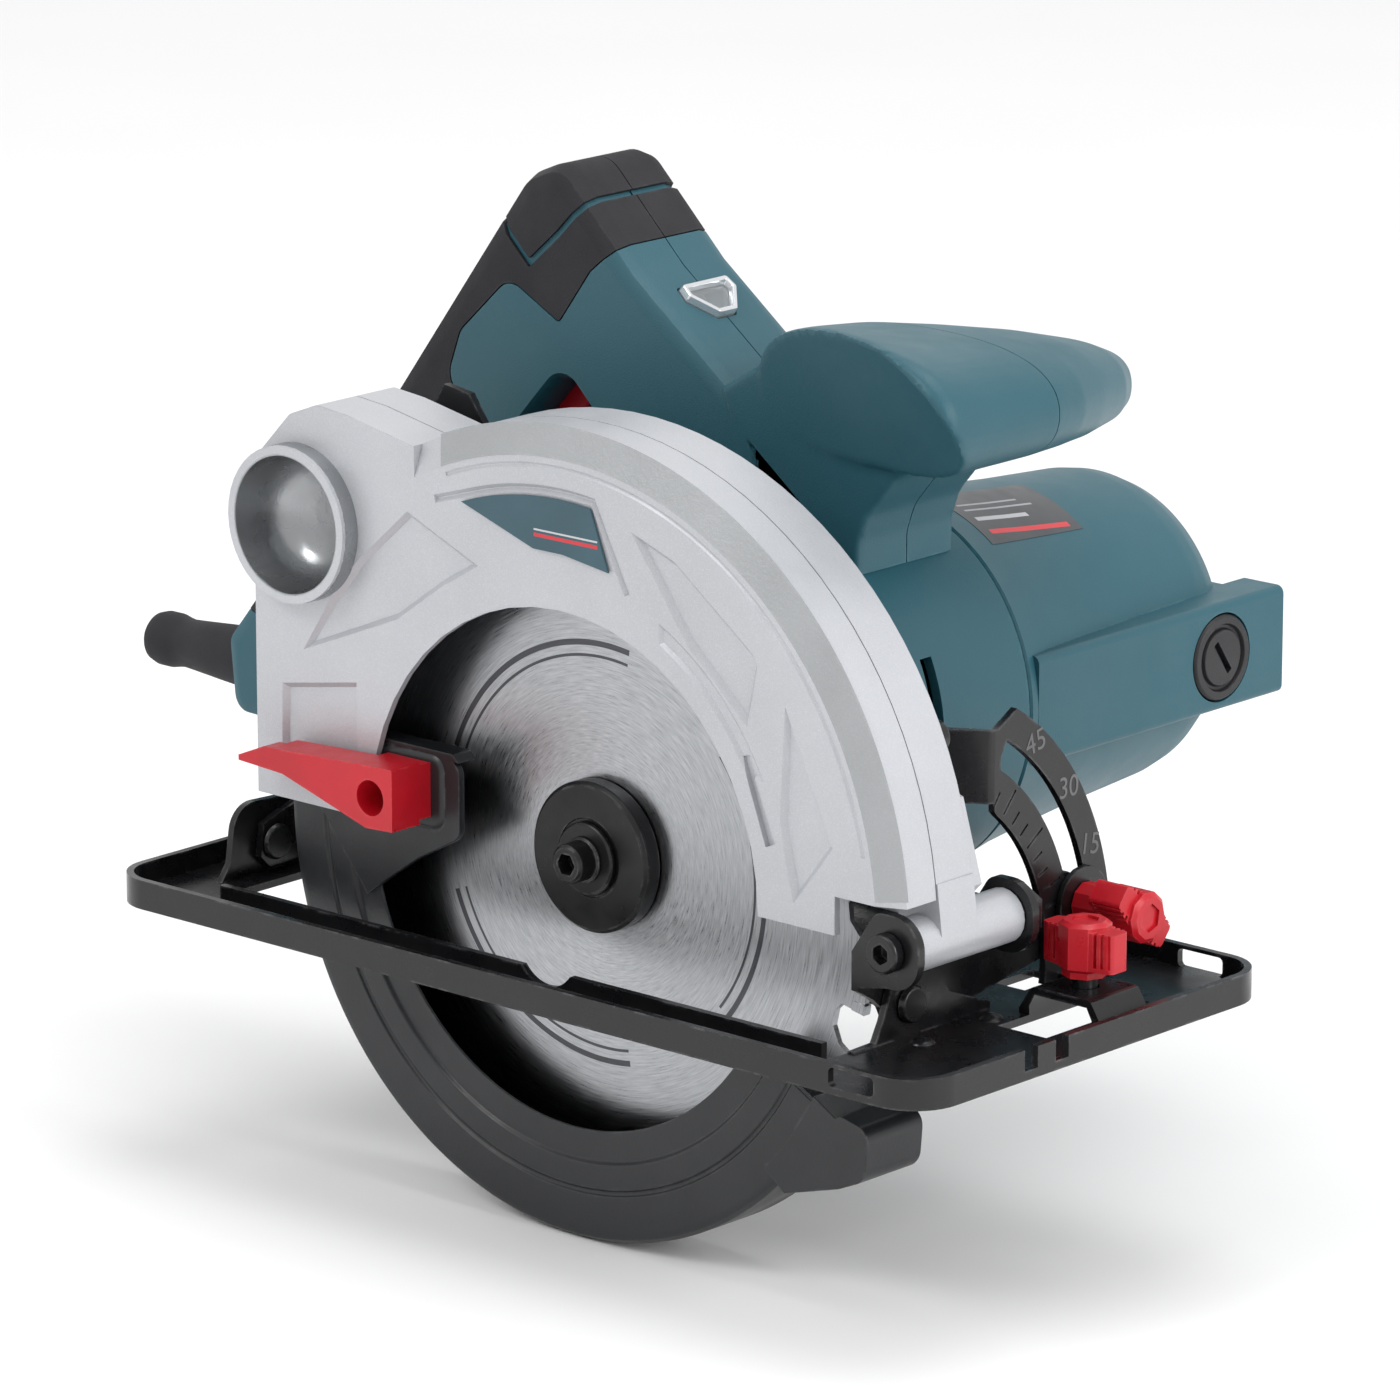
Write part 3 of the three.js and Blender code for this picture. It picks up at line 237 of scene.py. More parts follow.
def settle(obj):
    """Applies the object's modifiers to its mesh."""
    graph = bpy.context.evaluated_depsgraph_get()
    graph.update()
    mesh = bpy.data.meshes.new_from_object(obj.evaluated_get(graph))
    obj.modifiers.clear()
    obj.data = mesh
    return obj


def combine(obj, operation, tools):
    for tool in tools:
        modifier = obj.modifiers.new("combine", "BOOLEAN")
        modifier.operation = operation
        modifier.solver = "EXACT"
        modifier.object = tool
        settle(obj)
        bpy.data.objects.remove(tool)
    return obj


def cut(obj, *tools):
    return combine(obj, "DIFFERENCE", tools)


def join(obj, *tools):
    return combine(obj, "UNION", tools)


def common(obj, *tools):
    return combine(obj, "INTERSECT", tools)


def moved(obj, matrix):
    obj.data.transform(matrix)
    return obj


def gathered(*objs):
    """Several solids as one mesh, without joining them."""
    bm = bmesh.new()
    for obj in objs:
        bm.from_mesh(obj.data)
        bpy.data.objects.remove(obj)
    return solid(bm)


def tidy_mesh(mesh):
    bm = bmesh.new()
    bm.from_mesh(mesh)
    bmesh.ops.remove_doubles(bm, verts=bm.verts, dist=0.004)
    bmesh.ops.dissolve_limit(bm, angle_limit=radians(0.4), verts=bm.verts, edges=bm.edges)
    bm.to_mesh(mesh)
    bm.free()


def copied(node):
    """A CAD node's shape as a new solid, in millimetres in the blade's frame."""
    mesh = frame["nodes"][node].data.copy()
    for name in [a.name for a in mesh.attributes if a.name in ("custom_normal", "sharp_edge")]:
        mesh.attributes.remove(mesh.attributes[name])
    mesh.transform(TO_FRAME.inverted())
    tidy_mesh(mesh)
    obj = bpy.data.objects.new("copy", mesh)
    scene.collection.objects.link(obj)
    return obj


def piece(obj, name, body, material, nodes=(), bevel=0.4, rings=2, limit=34, tidy=True):
    """Rounds the edges, moves the piece to the frame's place and ties it to its body."""
    if tidy:
        tidy_mesh(obj.data)
    if bevel:
        modifier = obj.modifiers.new("edges", "BEVEL")
        modifier.width = bevel
        modifier.segments = rings
        modifier.limit_method = "ANGLE"
        modifier.angle_limit = radians(limit)
        modifier.miter_outer = "MITER_ARC"
        settle(obj)
    obj.data.transform(TO_FRAME)
    obj.data.materials.clear()
    obj.data.materials.append(MATERIALS[material])
    obj.data.polygons.foreach_set("use_smooth", [True] * len(obj.data.polygons))
    obj.data.set_sharp_from_angle(angle=radians(40))
    weighted = obj.modifiers.new("shading", "WEIGHTED_NORMAL")
    weighted.keep_sharp = True
    obj.name = name
    obj.data.name = name
    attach(obj, body)
    if nodes:
        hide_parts(*nodes)
    return obj


# ---------------------------------------------------------------- materials

MATERIALS = {}


class Graph:
    """Small helpers to wire a material's nodes."""

    def __init__(self, name):
        self.material = bpy.data.materials.new(name)
        self.material.use_nodes = True
        self.tree = self.material.node_tree
        self.shader = self.tree.nodes["Principled BSDF"]
        self.place = self.add("ShaderNodeTexCoord").outputs["Object"]

    def add(self, kind, inputs=None, **settings):
        node = self.tree.nodes.new(kind)
        for key, value in settings.items():
            setattr(node, key, value)
        for key, value in (inputs or {}).items():
            if isinstance(value, bpy.types.NodeSocket):
                self.tree.links.new(value, node.inputs[key])
            else:
                node.inputs[key].default_value = value
        return node

    def noise(self, scale, detail=3, roughness=0.55, place=None, stretch=None):
        place = place or self.place
        if stretch:
            place = self.add("ShaderNodeMapping", {"Vector": place, "Scale": stretch}).outputs["Vector"]
        return self.add("ShaderNodeTexNoise", {"Vector": place, "Scale": scale, "Detail": detail,
                                               "Roughness": roughness}).outputs["Fac"]

    def ranged(self, value, low, high, to_low=0.0, to_high=1.0):
        return self.add("ShaderNodeMapRange", {"Value": value, "From Min": low, "From Max": high,
                                               "To Min": to_low, "To Max": to_high}).outputs["Result"]

    def maths(self, operation, a, b=0.0, c=0.0):
        return self.add("ShaderNodeMath", {0: a, 1: b, 2: c}, operation=operation).outputs[0]

    def mix(self, factor, a, b):
        node = self.add("ShaderNodeMix", {"Factor": factor}, data_type="RGBA")
        colours = [s for s in node.inputs if s.type == "RGBA"]
        for socket, value in zip(colours, (a, b)):
            if isinstance(value, bpy.types.NodeSocket):
                self.tree.links.new(value, socket)
            else:
                socket.default_value = (*value, 1)
        return [s for s in node.outputs if s.type == "RGBA"][0]

    def bump(self, height, strength, distance, normal=None):
        inputs = {"Height": height, "Strength": strength, "Distance": distance}
        if normal is not None:
            inputs["Normal"] = normal
        return self.add("ShaderNodeBump", inputs).outputs["Normal"]

    def edges(self, radius):
        """0 on flat places, near 1 on the object's sharp edges."""
        rounded = self.add("ShaderNodeBevel", {"Radius": radius}, samples=4).outputs["Normal"]
        normal = self.add("ShaderNodeNewGeometry").outputs["Normal"]
        dot = self.add("ShaderNodeVectorMath", {0: rounded, 1: normal}, operation="DOT_PRODUCT")
        return self.ranged(dot.outputs["Value"], 0.995, 0.90)

    def link(self, value, socket):
        self.tree.links.new(value, self.shader.inputs[socket])


def surface(name, color, roughness, metallic=0.0, grain=900, grain_depth=0.15, tint=0.12, patches=35,
            spread=0.08, edge_wear_and_highlight=None, edge_wear_and_highlight_amount=0.5, coat=0.0, specular=0.5, flakes=0.0, streaks=None):
    """A painted, cast or moulded surface: tinted patches, fine relief, uneven gloss, and sharp edges in
    another colour that is partly wear and partly painted highlight.
    """
    g = Graph(name)
    shade = tuple(c * (1 - tint) for c in color)
    light = tuple(min(1, c * (1 + tint)) for c in color)
    base = g.mix(g.ranged(g.noise(patches, 4, 0.6), 0.3, 0.7), shade, light)
    if flakes:
        spark = g.ranged(g.noise(5200, 1, 0.5), 0.52, 0.7)
        base = g.mix(g.maths("MULTIPLY", spark, flakes), base, tuple(min(1, c * 1.5) for c in color))
    fine = g.noise(grain, 3, 0.6, stretch=streaks)
    rough = g.ranged(g.noise(patches * 2.5, 3, 0.6), 0.3, 0.7, roughness - spread, roughness + spread)
    # Sharp edges, broken up by noise, take the edge colour. This is partly wear and partly a painted
    # highlight, as most edge colours below are lighter than their base.
    if edge_wear_and_highlight:
        worn_and_lit_edges = g.maths("MULTIPLY", g.edges(0.0009), g.ranged(g.noise(170, 4, 0.7), 0.48, 0.62))
        worn_and_lit_edges = g.maths("MULTIPLY", worn_and_lit_edges, edge_wear_and_highlight_amount)
        base = g.mix(worn_and_lit_edges, base, edge_wear_and_highlight)
    g.link(base, "Base Color")
    g.link(rough, "Roughness")
    g.link(g.bump(fine, grain_depth, 0.0002), "Normal")
    g.shader.inputs["Metallic"].default_value = metallic
    g.shader.inputs["Coat Weight"].default_value = coat
    g.shader.inputs["Coat Roughness"].default_value = 0.12
    g.shader.inputs["Specular IOR Level"].default_value = specular
    MATERIALS[name] = g.material
    return g


def blade_material():
    """Steel ground in fine circles, with a thin printed ring broken into arcs."""
    g = Graph("blade_steel")
    split = g.add("ShaderNodeSeparateXYZ", {0: g.place})
    x, z = split.outputs["X"], g.maths("SUBTRACT", split.outputs["Z"], HUB_Z * MM)
    radius = g.maths("SQRT", g.maths("ADD", g.maths("MULTIPLY", x, x), g.maths("MULTIPLY", z, z)))
    angle = g.maths("ARCTAN2", z, x)
    rings = g.add("ShaderNodeCombineXYZ", {"X": g.maths("MULTIPLY", radius, 2600.0),
                                           "Y": g.maths("MULTIPLY", angle, 7.0)}).outputs[0]
    ground = g.noise(1.0, 3, 0.65, place=rings)
    tone = g.mix(g.ranged(ground, 0.3, 0.7), (0.29, 0.30, 0.315), (0.50, 0.51, 0.53))
    arcs = g.maths("LESS_THAN", g.maths("ABSOLUTE", g.maths("SUBTRACT", radius, 0.0495)), 0.0007)
    inner = g.maths("LESS_THAN", g.maths("ABSOLUTE", g.maths("SUBTRACT", radius, 0.0465)), 0.00035)
    arcs = g.maths("MAXIMUM", arcs, inner)
    gaps = g.maths("LESS_THAN", g.maths("ABSOLUTE", g.maths("SINE", g.maths("MULTIPLY", angle, 1.5))), 0.86)
    print_on = g.maths("MULTIPLY", g.maths("MULTIPLY", arcs, gaps), 0.85)
    g.link(g.mix(print_on, tone, (0.03, 0.03, 0.035)), "Base Color")
    g.link(g.ranged(ground, 0.25, 0.75, 0.24, 0.40), "Roughness")
    g.link(g.bump(ground, 0.25, 0.00008), "Normal")
    g.link(g.add("ShaderNodeTangent", direction_type="RADIAL", axis="Y").outputs["Tangent"], "Tangent")
    g.shader.inputs["Metallic"].default_value = 1.0
    g.shader.inputs["Anisotropic"].default_value = 0.75
    MATERIALS["blade_steel"] = g.material


def label_material(name, ground, bars):
    """Printed foil: a plain ground with a few plain bars."""
    g = Graph(name)
    generated = g.tree.nodes["Texture Coordinate"].outputs["Generated"]
    split = g.add("ShaderNodeSeparateXYZ", {0: generated})
    along, across = split.outputs[bars["along"]], split.outputs[bars["across"]]
    tone = g.mix(g.ranged(g.noise(60, 3), 0.3, 0.7), tuple(c * 0.9 for c in ground),
                 tuple(c * 1.1 for c in ground))
    for start, stop, low, high, color in bars["list"]:
        inside = g.maths("MULTIPLY", g.maths("GREATER_THAN", along, start),
                         g.maths("LESS_THAN", along, stop))
        inside = g.maths("MULTIPLY", inside, g.maths("GREATER_THAN", across, low))
        inside = g.maths("MULTIPLY", inside, g.maths("LESS_THAN", across, high))
        tone = g.mix(inside, tone, color)
    g.link(tone, "Base Color")
    g.link(g.ranged(g.noise(90, 3), 0.3, 0.7, 0.28, 0.42), "Roughness")
    g.link(g.bump(g.noise(1400, 2), 0.05, 0.0001), "Normal")
    MATERIALS[name] = g.material


# The edge colours given here are partly wear and partly painted edge highlight; most are lighter than the
# base colour.
surface("cast_silver", (0.46, 0.47, 0.495), 0.40, 0.30, grain=1300, grain_depth=0.35, tint=0.05, patches=22,
        spread=0.06, edge_wear_and_highlight=(0.30, 0.30, 0.31), edge_wear_and_highlight_amount=0.35, flakes=0.35)
surface("cast_port", (0.34, 0.35, 0.36), 0.28, 0.9, grain=1500, grain_depth=0.2, tint=0.08, patches=30,
        streaks=(0.3, 1, 0.3))
surface("cast_grey", (0.33, 0.34, 0.35), 0.42, 0.35, grain=1100, grain_depth=0.4, tint=0.08, patches=26,
        edge_wear_and_highlight=(0.5, 0.5, 0.52), edge_wear_and_highlight_amount=0.3, flakes=0.3)
surface("machined_steel", (0.46, 0.47, 0.49), 0.28, 1.0, grain=1800, grain_depth=0.2, tint=0.12, patches=60,
        streaks=(1, 0.15, 1))
surface("black_steel", (0.006, 0.006, 0.007), 0.30, 0.0, grain=700, grain_depth=0.10, tint=0.25, patches=40,
        spread=0.09, edge_wear_and_highlight=(0.16, 0.16, 0.17), edge_wear_and_highlight_amount=0.5, coat=0.12, specular=0.4)
surface("black_guard", (0.009, 0.010, 0.012), 0.36, 0.0, grain=1100, grain_depth=0.2, tint=0.2, patches=30,
        edge_wear_and_highlight=(0.16, 0.16, 0.17), edge_wear_and_highlight_amount=0.3)
surface("spindle_steel", (0.014, 0.014, 0.015), 0.34, 0.5, grain=1600, grain_depth=0.12, tint=0.2, patches=70,
        edge_wear_and_highlight=(0.30, 0.30, 0.31), edge_wear_and_highlight_amount=0.5)
surface("teal_plastic", (0.018, 0.088, 0.116), 0.44, grain=2600, grain_depth=0.42, tint=0.06, patches=14,
        edge_wear_and_highlight=(0.09, 0.24, 0.28), edge_wear_and_highlight_amount=0.3, specular=0.42)
surface("grip_rubber", (0.020, 0.020, 0.023), 0.72, grain=2100, grain_depth=0.6, tint=0.16, patches=28,
        edge_wear_and_highlight=(0.09, 0.09, 0.10), edge_wear_and_highlight_amount=0.35, specular=0.3)
surface("black_plastic", (0.010, 0.010, 0.012), 0.45, grain=2200, grain_depth=0.3, tint=0.15, patches=50,
        edge_wear_and_highlight=(0.07, 0.07, 0.08), edge_wear_and_highlight_amount=0.3)
surface("red_plastic", (0.46, 0.005, 0.014), 0.34, grain=1500, grain_depth=0.15, tint=0.10, patches=60,
        spread=0.07, edge_wear_and_highlight=(0.75, 0.12, 0.12), edge_wear_and_highlight_amount=0.35, specular=0.45)
surface("copper_windings", (0.45, 0.15, 0.06), 0.35, 0.9, grain=1200, grain_depth=0.6, tint=0.15,
        streaks=(1, 0.05, 1))
surface("brass", (0.60, 0.37, 0.09), 0.3, 1.0, grain=1400, tint=0.08)
surface("carbon", (0.02, 0.02, 0.022), 0.6, 0.1, grain=1800, grain_depth=0.3)
lens = surface("clear_lens", (0.72, 0.76, 0.78), 0.07, grain=600, grain_depth=0.04, tint=0.04, spread=0.02)
lens.shader.inputs["Transmission Weight"].default_value = 0.85
lens.shader.inputs["IOR"].default_value = 1.5
surface("window_rim", (0.70, 0.72, 0.74), 0.12, 0.75, grain=800, grain_depth=0.05, tint=0.08, spread=0.03)
surface("scale_print", (0.10, 0.10, 0.105), 0.45, grain=900, grain_depth=0.1, tint=0.15)
blade_material()
label_material("label_foil", (0.030, 0.080, 0.105), dict(along="X", across="Z", list=[
    (0.50, 0.93, 0.34, 0.40, (0.55, 0.03, 0.04)), (0.50, 0.93, 0.44, 0.47, (0.5, 0.5, 0.52))]))
label_material("print_dark", (0.045, 0.050, 0.056), dict(along="Y", across="X", list=[
    (0.10, 0.90, 0.80, 0.86, (0.55, 0.03, 0.04)), (0.10, 0.62, 0.60, 0.66, (0.4, 0.4, 0.42)),
    (0.10, 0.78, 0.45, 0.48, (0.3, 0.3, 0.32)), (0.10, 0.70, 0.34, 0.37, (0.3, 0.3, 0.32))]))

slot_of = {s["node"]: s["material_slot"] for s in frame["record"]["subparts"]}
for node, obj in frame["nodes"].items():
    obj.data.materials.clear()
    obj.data.materials.append(MATERIALS["blade_steel" if node == "saw_blade" else slot_of[node]])


# ---------------------------------------------------------------- camera, lights, floor

camera_data = bpy.data.cameras.new("camera")
camera_data.lens = 205.7
camera_data.sensor_width = 36
camera_data.clip_end = 20
camera = bpy.data.objects.new("camera", camera_data)
target = Vector((29.09, -HANDLE_Y, 68.92)) * MM
azimuth, elevation, distance = radians(41.91), radians(14.82), 1806.72 * MM
away = Vector((sin(azimuth) * cos(elevation), -cos(azimuth) * cos(elevation), sin(elevation)))
camera.location = target + away * distance
camera.rotation_euler = (-away).to_track_quat("-Z", "Y").to_euler()
scene.collection.objects.link(camera)
scene.camera = camera

scene.view_settings.view_transform = "Standard"
scene.view_settings.look = "None"
world = bpy.data.worlds.new("studio")
world.use_nodes = True
world.node_tree.nodes["Background"].inputs["Color"].default_value = (1, 1, 1, 1)
world.node_tree.nodes["Background"].inputs["Strength"].default_value = 0.92
scene.world = world


def area_light(name, place, size, power, aim=(0.0, 0.0, 0.06)):
    data = bpy.data.lights.new(name, "AREA")
    data.shape = "RECTANGLE"
    data.size, data.size_y = size
    data.energy = power
    light = bpy.data.objects.new(name, data)
    light.location = place
    light.rotation_euler = (Vector(aim) - Vector(place)).to_track_quat("-Z", "Y").to_euler()
    scene.collection.objects.link(light)


area_light("key", (-0.5, -1.5, 1.5), (0.8, 0.8), 11)
area_light("top", (0.2, 0.3, 1.8), (1.2, 0.9), 9)
area_light("side", (1.6, 0.1, 0.7), (0.6, 0.9), 13)

floor_size = 6.0
bm = bmesh.new()
bmesh.ops.create_grid(bm, x_segments=1, y_segments=1, size=floor_size)
floor = solid(bm)
floor.name = "floor"
floor.location.z = cad_box[0][2] - 0.0002
ground = Graph("floor")
ground.link(ground.mix(ground.ranged(ground.noise(3, 2), 0.3, 0.7), (0.86, 0.86, 0.86), (0.89, 0.89, 0.89)),
            "Base Color")
ground.shader.inputs["Roughness"].default_value = 0.7
floor.data.materials.append(ground.material)


# ---------------------------------------------------------------- shoe

def shoe_plate():
    back, front, left, right, rim, sheet = SHOE.values()
    corner = 12
    inset = 0.02
    plate = sweep("Z", rectangle(back + inset, front - inset, left + inset, right - inset, corner), 0, rim)
    plate = cut(
        plate,
        sweep("Z", rectangle(back + sheet, front - sheet, left + sheet, right - sheet, corner - sheet), sheet,
              rim + 1),
        sweep("Z", rectangle(*WINDOW.values(), 4), -1, rim + 1),
        sweep("Z", rectangle(-36, 38, 0, 37, 4), -1, rim + 1))
    lip = cut(block(WINDOW["back"] + 4, WINDOW["front"], WINDOW["left"] - sheet, WINDOW["left"], 0.5, 6),
              lathe("Y", rod(9.5, WINDOW["left"] - 5, WINDOW["left"] + 5), (5, 11.8)))
    front_ear = outline([(-17, 0.5), (30, 0.5), (30, 3.5), (16, 9), (9, 16.5, 4), (-3, 17.5, 5), (-7, 7),
                         (-9.5, 2.4), (-17, 2.2)])
    rear_ear = outline([(-15, 0.5), (15, 0.5), (13, 8), (12, 19, 3), (-9, 20, 7), (-11, 6)])
    plate = join(plate, lip, sweep("X", front_ear, WINDOW["front"], WINDOW["front"] + sheet),
                 sweep("X", rear_ear, -113, -113 + sheet))
    bridge = [(97, 0.5), (100, 0.5), (100, 4), (101.5, 6.8), (116.5, 6.8), (118, 4), (118, 0.5), (121, 0.5),
              (121, 3), (117.5, 8.6, 2), (100.5, 8.6, 2), (97, 3)]
    plate = cut(plate, block(100, 114, 21, 58, -1, sheet + 1))
    plate = join(plate, sweep("Y", outline(bridge), 32, 49))
    plate = cut(plate, lathe("Z", rod(3.4, 4, 12), FENCE_SCREW, 32), block(78, 87, 46, 60, -1, sheet + 1),
                sweep("Y", rectangle(101, 114, sheet, 6.2, 1.2), left - 1, left + 3),
                sweep("Y", rectangle(101, 114, sheet, 6.2, 1.2), right - 3, right + 1),
                block(front - 3, front + 1, -2.5, 2, 2.2, rim + 1),
                block(front - 3, front + 1, 8.2, 12.7, 2.2, rim + 1),
                lathe("X", rod(3.3, -115, -110), BEVEL, 32), lathe("X", rod(3.3, 86, 92), BEVEL, 32))
    return plate


def weld_bead(x, y):
    """A small crowned spot weld on the shoe's upper side."""
    return lathe("Z", [(0, 1.2), (3.2, 1.2), (3.0, 1.9), (2.2, 2.6), (1.0, 3.1), (0, 3.2)], (x, y), 24)


def bevel_quadrant():
    y, z = BEVEL
    plate = arc(y, z, 71, -5, 59, 48) + [(31, 66), (31, 47.5)] + arc(y, z, 47.7, 51, -7.6, 40)
    slot = arc(y, z, SLOT_OUTER, 6.5, 58.5, 36) + arc(y, z, SLOT_INNER, 58.5, 6.5, 36)
    flange = outline([(SCALE_FACE, 33), (SCALE_BACK, 33), (SCALE_BACK, 31), (77.4, 24.5, 1.5), (78.3, 22.95),
                      (89.2, 29.45), (SCALE_FACE, 31)])
    quadrant = cut(sweep("X", plate, SCALE_BACK, SCALE_FACE), sweep("X", slot, 86, 92))
    quadrant = join(quadrant, block(SCALE_BACK, 96.5, 54, 69, 3, 4.8), sweep("Z", flange, 49.5, 66.5))
    ticks = []
    for step in range(11):
        angle = radians(4 + 5 * step)
        long_tick = step in (3, 6, 9)
        inner, outer = (49, 55.5) if long_tick else (49, 52.5)
        along = Vector((cos(angle), sin(angle)))
        side = Vector((-sin(angle), cos(angle))) * 0.28
        near, far = Vector((y, z)) + along * inner, Vector((y, z)) + along * outer
        quad = [tuple(near - side), tuple(far - side), tuple(far + side), tuple(near + side)]
        ticks.append(sweep("X", quad, SCALE_FACE - 0.3, SCALE_FACE + 0.9))
    return cut(quadrant, *ticks)


def numeral(text, angle, tilt):
    """Raised figures of the bevel scale, on the front of the quadrant."""
    curve = bpy.data.curves.new("numeral", "FONT")
    curve.body = text
    curve.size = 7.2
    curve.extrude = 0.12
    curve.align_x, curve.align_y = "CENTER", "CENTER"
    holder = bpy.data.objects.new("numeral", curve)
    scene.collection.objects.link(holder)
    graph = bpy.context.evaluated_depsgraph_get()
    mesh = bpy.data.meshes.new_from_object(holder.evaluated_get(graph))
    bpy.data.objects.remove(holder)
    upright = Matrix(((0, 0, 1, 0), (1, 0, 0, 0), (0, 1, 0, 0), (0, 0, 0, 1)))
    middle = 67.3
    y, z = BEVEL[0] + middle * cos(radians(angle)), BEVEL[1] + middle * sin(radians(angle))
    mesh.transform(Matrix.Translation((SCALE_FACE - 0.04, y, z)) @ Matrix.Rotation(radians(tilt), 4, "X")
                   @ upright)
    obj = bpy.data.objects.new("numeral", mesh)
    scene.collection.objects.link(obj)
    return obj


piece(shoe_plate(), "shoe_pressing", "shoe", "black_steel", ["shoe_plate"], bevel=0.55)
for number, spot in enumerate([(95.5, 0), (95.5, 24), (-118, 0)], 1):
    piece(weld_bead(*spot), f"shoe_weld_{number}", "shoe", "black_steel", bevel=0)
piece(bevel_quadrant(), "bevel_scale_plate", "shoe", "black_steel", ["bevel_quadrant"], bevel=0.18, rings=1)
for text, angle, tilt in (("15", 20.5, -8), ("30", 35, 0), ("45", 50, 12)):
    piece(numeral(text, angle, tilt), f"bevel_scale_{text}", "shoe", "scale_print", bevel=0, tidy=False)


# ---------------------------------------------------------------- knobs and tilting frame

def wing_knob(collar):
    """Knob with a faceted hub and two ribbed wings; it stands on 0 and points up."""
    hub_top = collar + 11.5
    hub = lathe("Z", [(0, 0), (5.2, 0), (5.2, collar), (6.1, collar + 0.8), (6.1, collar + 10.6),
                      (5.0, hub_top), (0, hub_top)], (0, 0), 8 if collar < 4 else 10)
    wing = outline([(-10.1, -2.9, 1.4), (-4, -4.3), (4, -4.3), (10.1, -2.9, 1.4), (10.1, 2.9, 1.4), (4, 4.3),
                    (-4, 4.3), (-10.1, 2.9, 1.4)])
    wings = sweep("Z", wing, collar + 0.8, collar + 9.8)
    grooves = []
    for x in (5.9, 7.6, 9.3):
        for side in (-1, 1):
            for face in (-1, 1):
                rib_gap = rectangle(side * x - 0.42, side * x + 0.42, face * 3.6 - 0.75, face * 3.6 + 0.75)
                grooves.append(sweep("Z", rib_gap, collar + 1.8, collar + 10.5))
    knob = join(cut(wings, *grooves), hub)
    hexagon = [(3.4 * cos(radians(60 * k)), 3.4 * sin(radians(60 * k))) for k in range(6)]
    return cut(knob, sweep("Z", hexagon, hub_top - 0.7, hub_top + 1),
               lathe("Z", rod(2.4, -1, hub_top - 1), (0, 0), 24))


fence_knob = moved(wing_knob(1.5), Matrix.Translation((*FENCE_SCREW, 11.3)))
piece(fence_knob, "fence_clamp_knob", "rip_fence_clamp", "red_plastic", ["rip_fence_knob"], bevel=0.35)
turn = Matrix.Rotation(radians(90), 4, "Y") @ Matrix.Rotation(radians(50), 4, "Z")
tilt_knob = cut(moved(wing_knob(7.5), Matrix.Translation((92.2, *BEVEL_BOLT)) @ turn),
                lathe("X", rod(3.3, 91, 103.5), BEVEL_BOLT, 24))
piece(tilt_knob, "bevel_clamp_knob", "bevel_clamp", "red_plastic", ["bevel_knob"], bevel=0.35)


def front_bracket():
    y, z = BEVEL
    web = outline([(-13.2, 15), (-8, 12), (y - 7, z, 2), (y - 4, z - 6, 3), (y + 4, z - 6, 3), (24, 4.5),
                   (62, 10.5, 4), (67, 16, 3), (66, 25, 4), (61, 24.6), (57.5, 20), (52, 15), (28.5, 15.5),
                   (28.5, 21), (-13.2, 21)])
    ear = outline([(86, 15.4), (96, 17.4), (105.5, 17.4, 7.5), (105.5, 34.5, 7.5), (93, 34.5, 4), (86, 24)])
    bracket = join(sweep("X", web, 86, 88), sweep("Y", ear, -13.2, -11), sweep("Y", ear, 26.3, 28.5))
    return cut(bracket, lathe("X", rod(3.3, 84, 90), BEVEL, 32), lathe("X", rod(3.4, 84, 90), BEVEL_BOLT, 32),
               lathe("Y", rod(3.8, -20, 40), DEPTH, 32))


piece(front_bracket(), "tilt_bracket_front", "tilt_frame", "black_steel", ["front_bracket"], bevel=0.45)
for node, name in (("front_bevel_rivet", "bevel_rivet_front"), ("rear_bevel_rivet", "bevel_rivet_rear"),
                   ("depth_guide", "depth_arm"), ("bevel_bolt", "bevel_clamp_bolt"),
                   ("bevel_washer", "bevel_clamp_washer"), ("depth_pivot_bolt", "depth_pivot_screw"),
                   ("depth_pivot_nut", "depth_pivot_locknut")):
    piece(copied(node), name, "tilt_frame", "black_steel", [node], bevel=0.3)
piece(copied("rip_fence_screw"), "fence_clamp_screw", "rip_fence_clamp", "black_steel", ["rip_fence_screw"],
      bevel=0.2)


# ---------------------------------------------------------------- upper guard

def recess(points, depth=1.35, slope=1.3):
    """Cutter for a shallow panel with sloping walls in the guard's face."""
    points = outline(points)
    above = 0.3
    grow = slope * above / depth
    return sweep("Y", offset(points, grow), FACE_Y - above, FACE_Y + depth, far_points=offset(points, -slope))


def groove(points, width=1.9, depth=0.9):
    """Cutter for a V groove that follows a line on the guard's face."""
    left = offset_line(points, width / 2 + 0.3)
    right = offset_line(points, -width / 2 - 0.3)
    foot = offset_line(points, 0.15) + offset_line(points, -0.15)[::-1]
    return sweep("Y", left + right[::-1], FACE_Y - 0.3, FACE_Y + depth, far_points=foot)


def offset_line(points, distance):
    """An open line moved sideways by distance."""
    moved_points = []
    for i, point in enumerate(points):
        before = Vector(point) - Vector(points[i - 1]) if i else Vector(points[1]) - Vector(point)
        after = Vector(points[i + 1]) - Vector(point) if i < len(points) - 1 else before
        middle = (before.normalized() + after.normalized()).normalized()
        moved_points.append((point[0] - middle.y * distance, point[1] + middle.x * distance))
    return moved_points


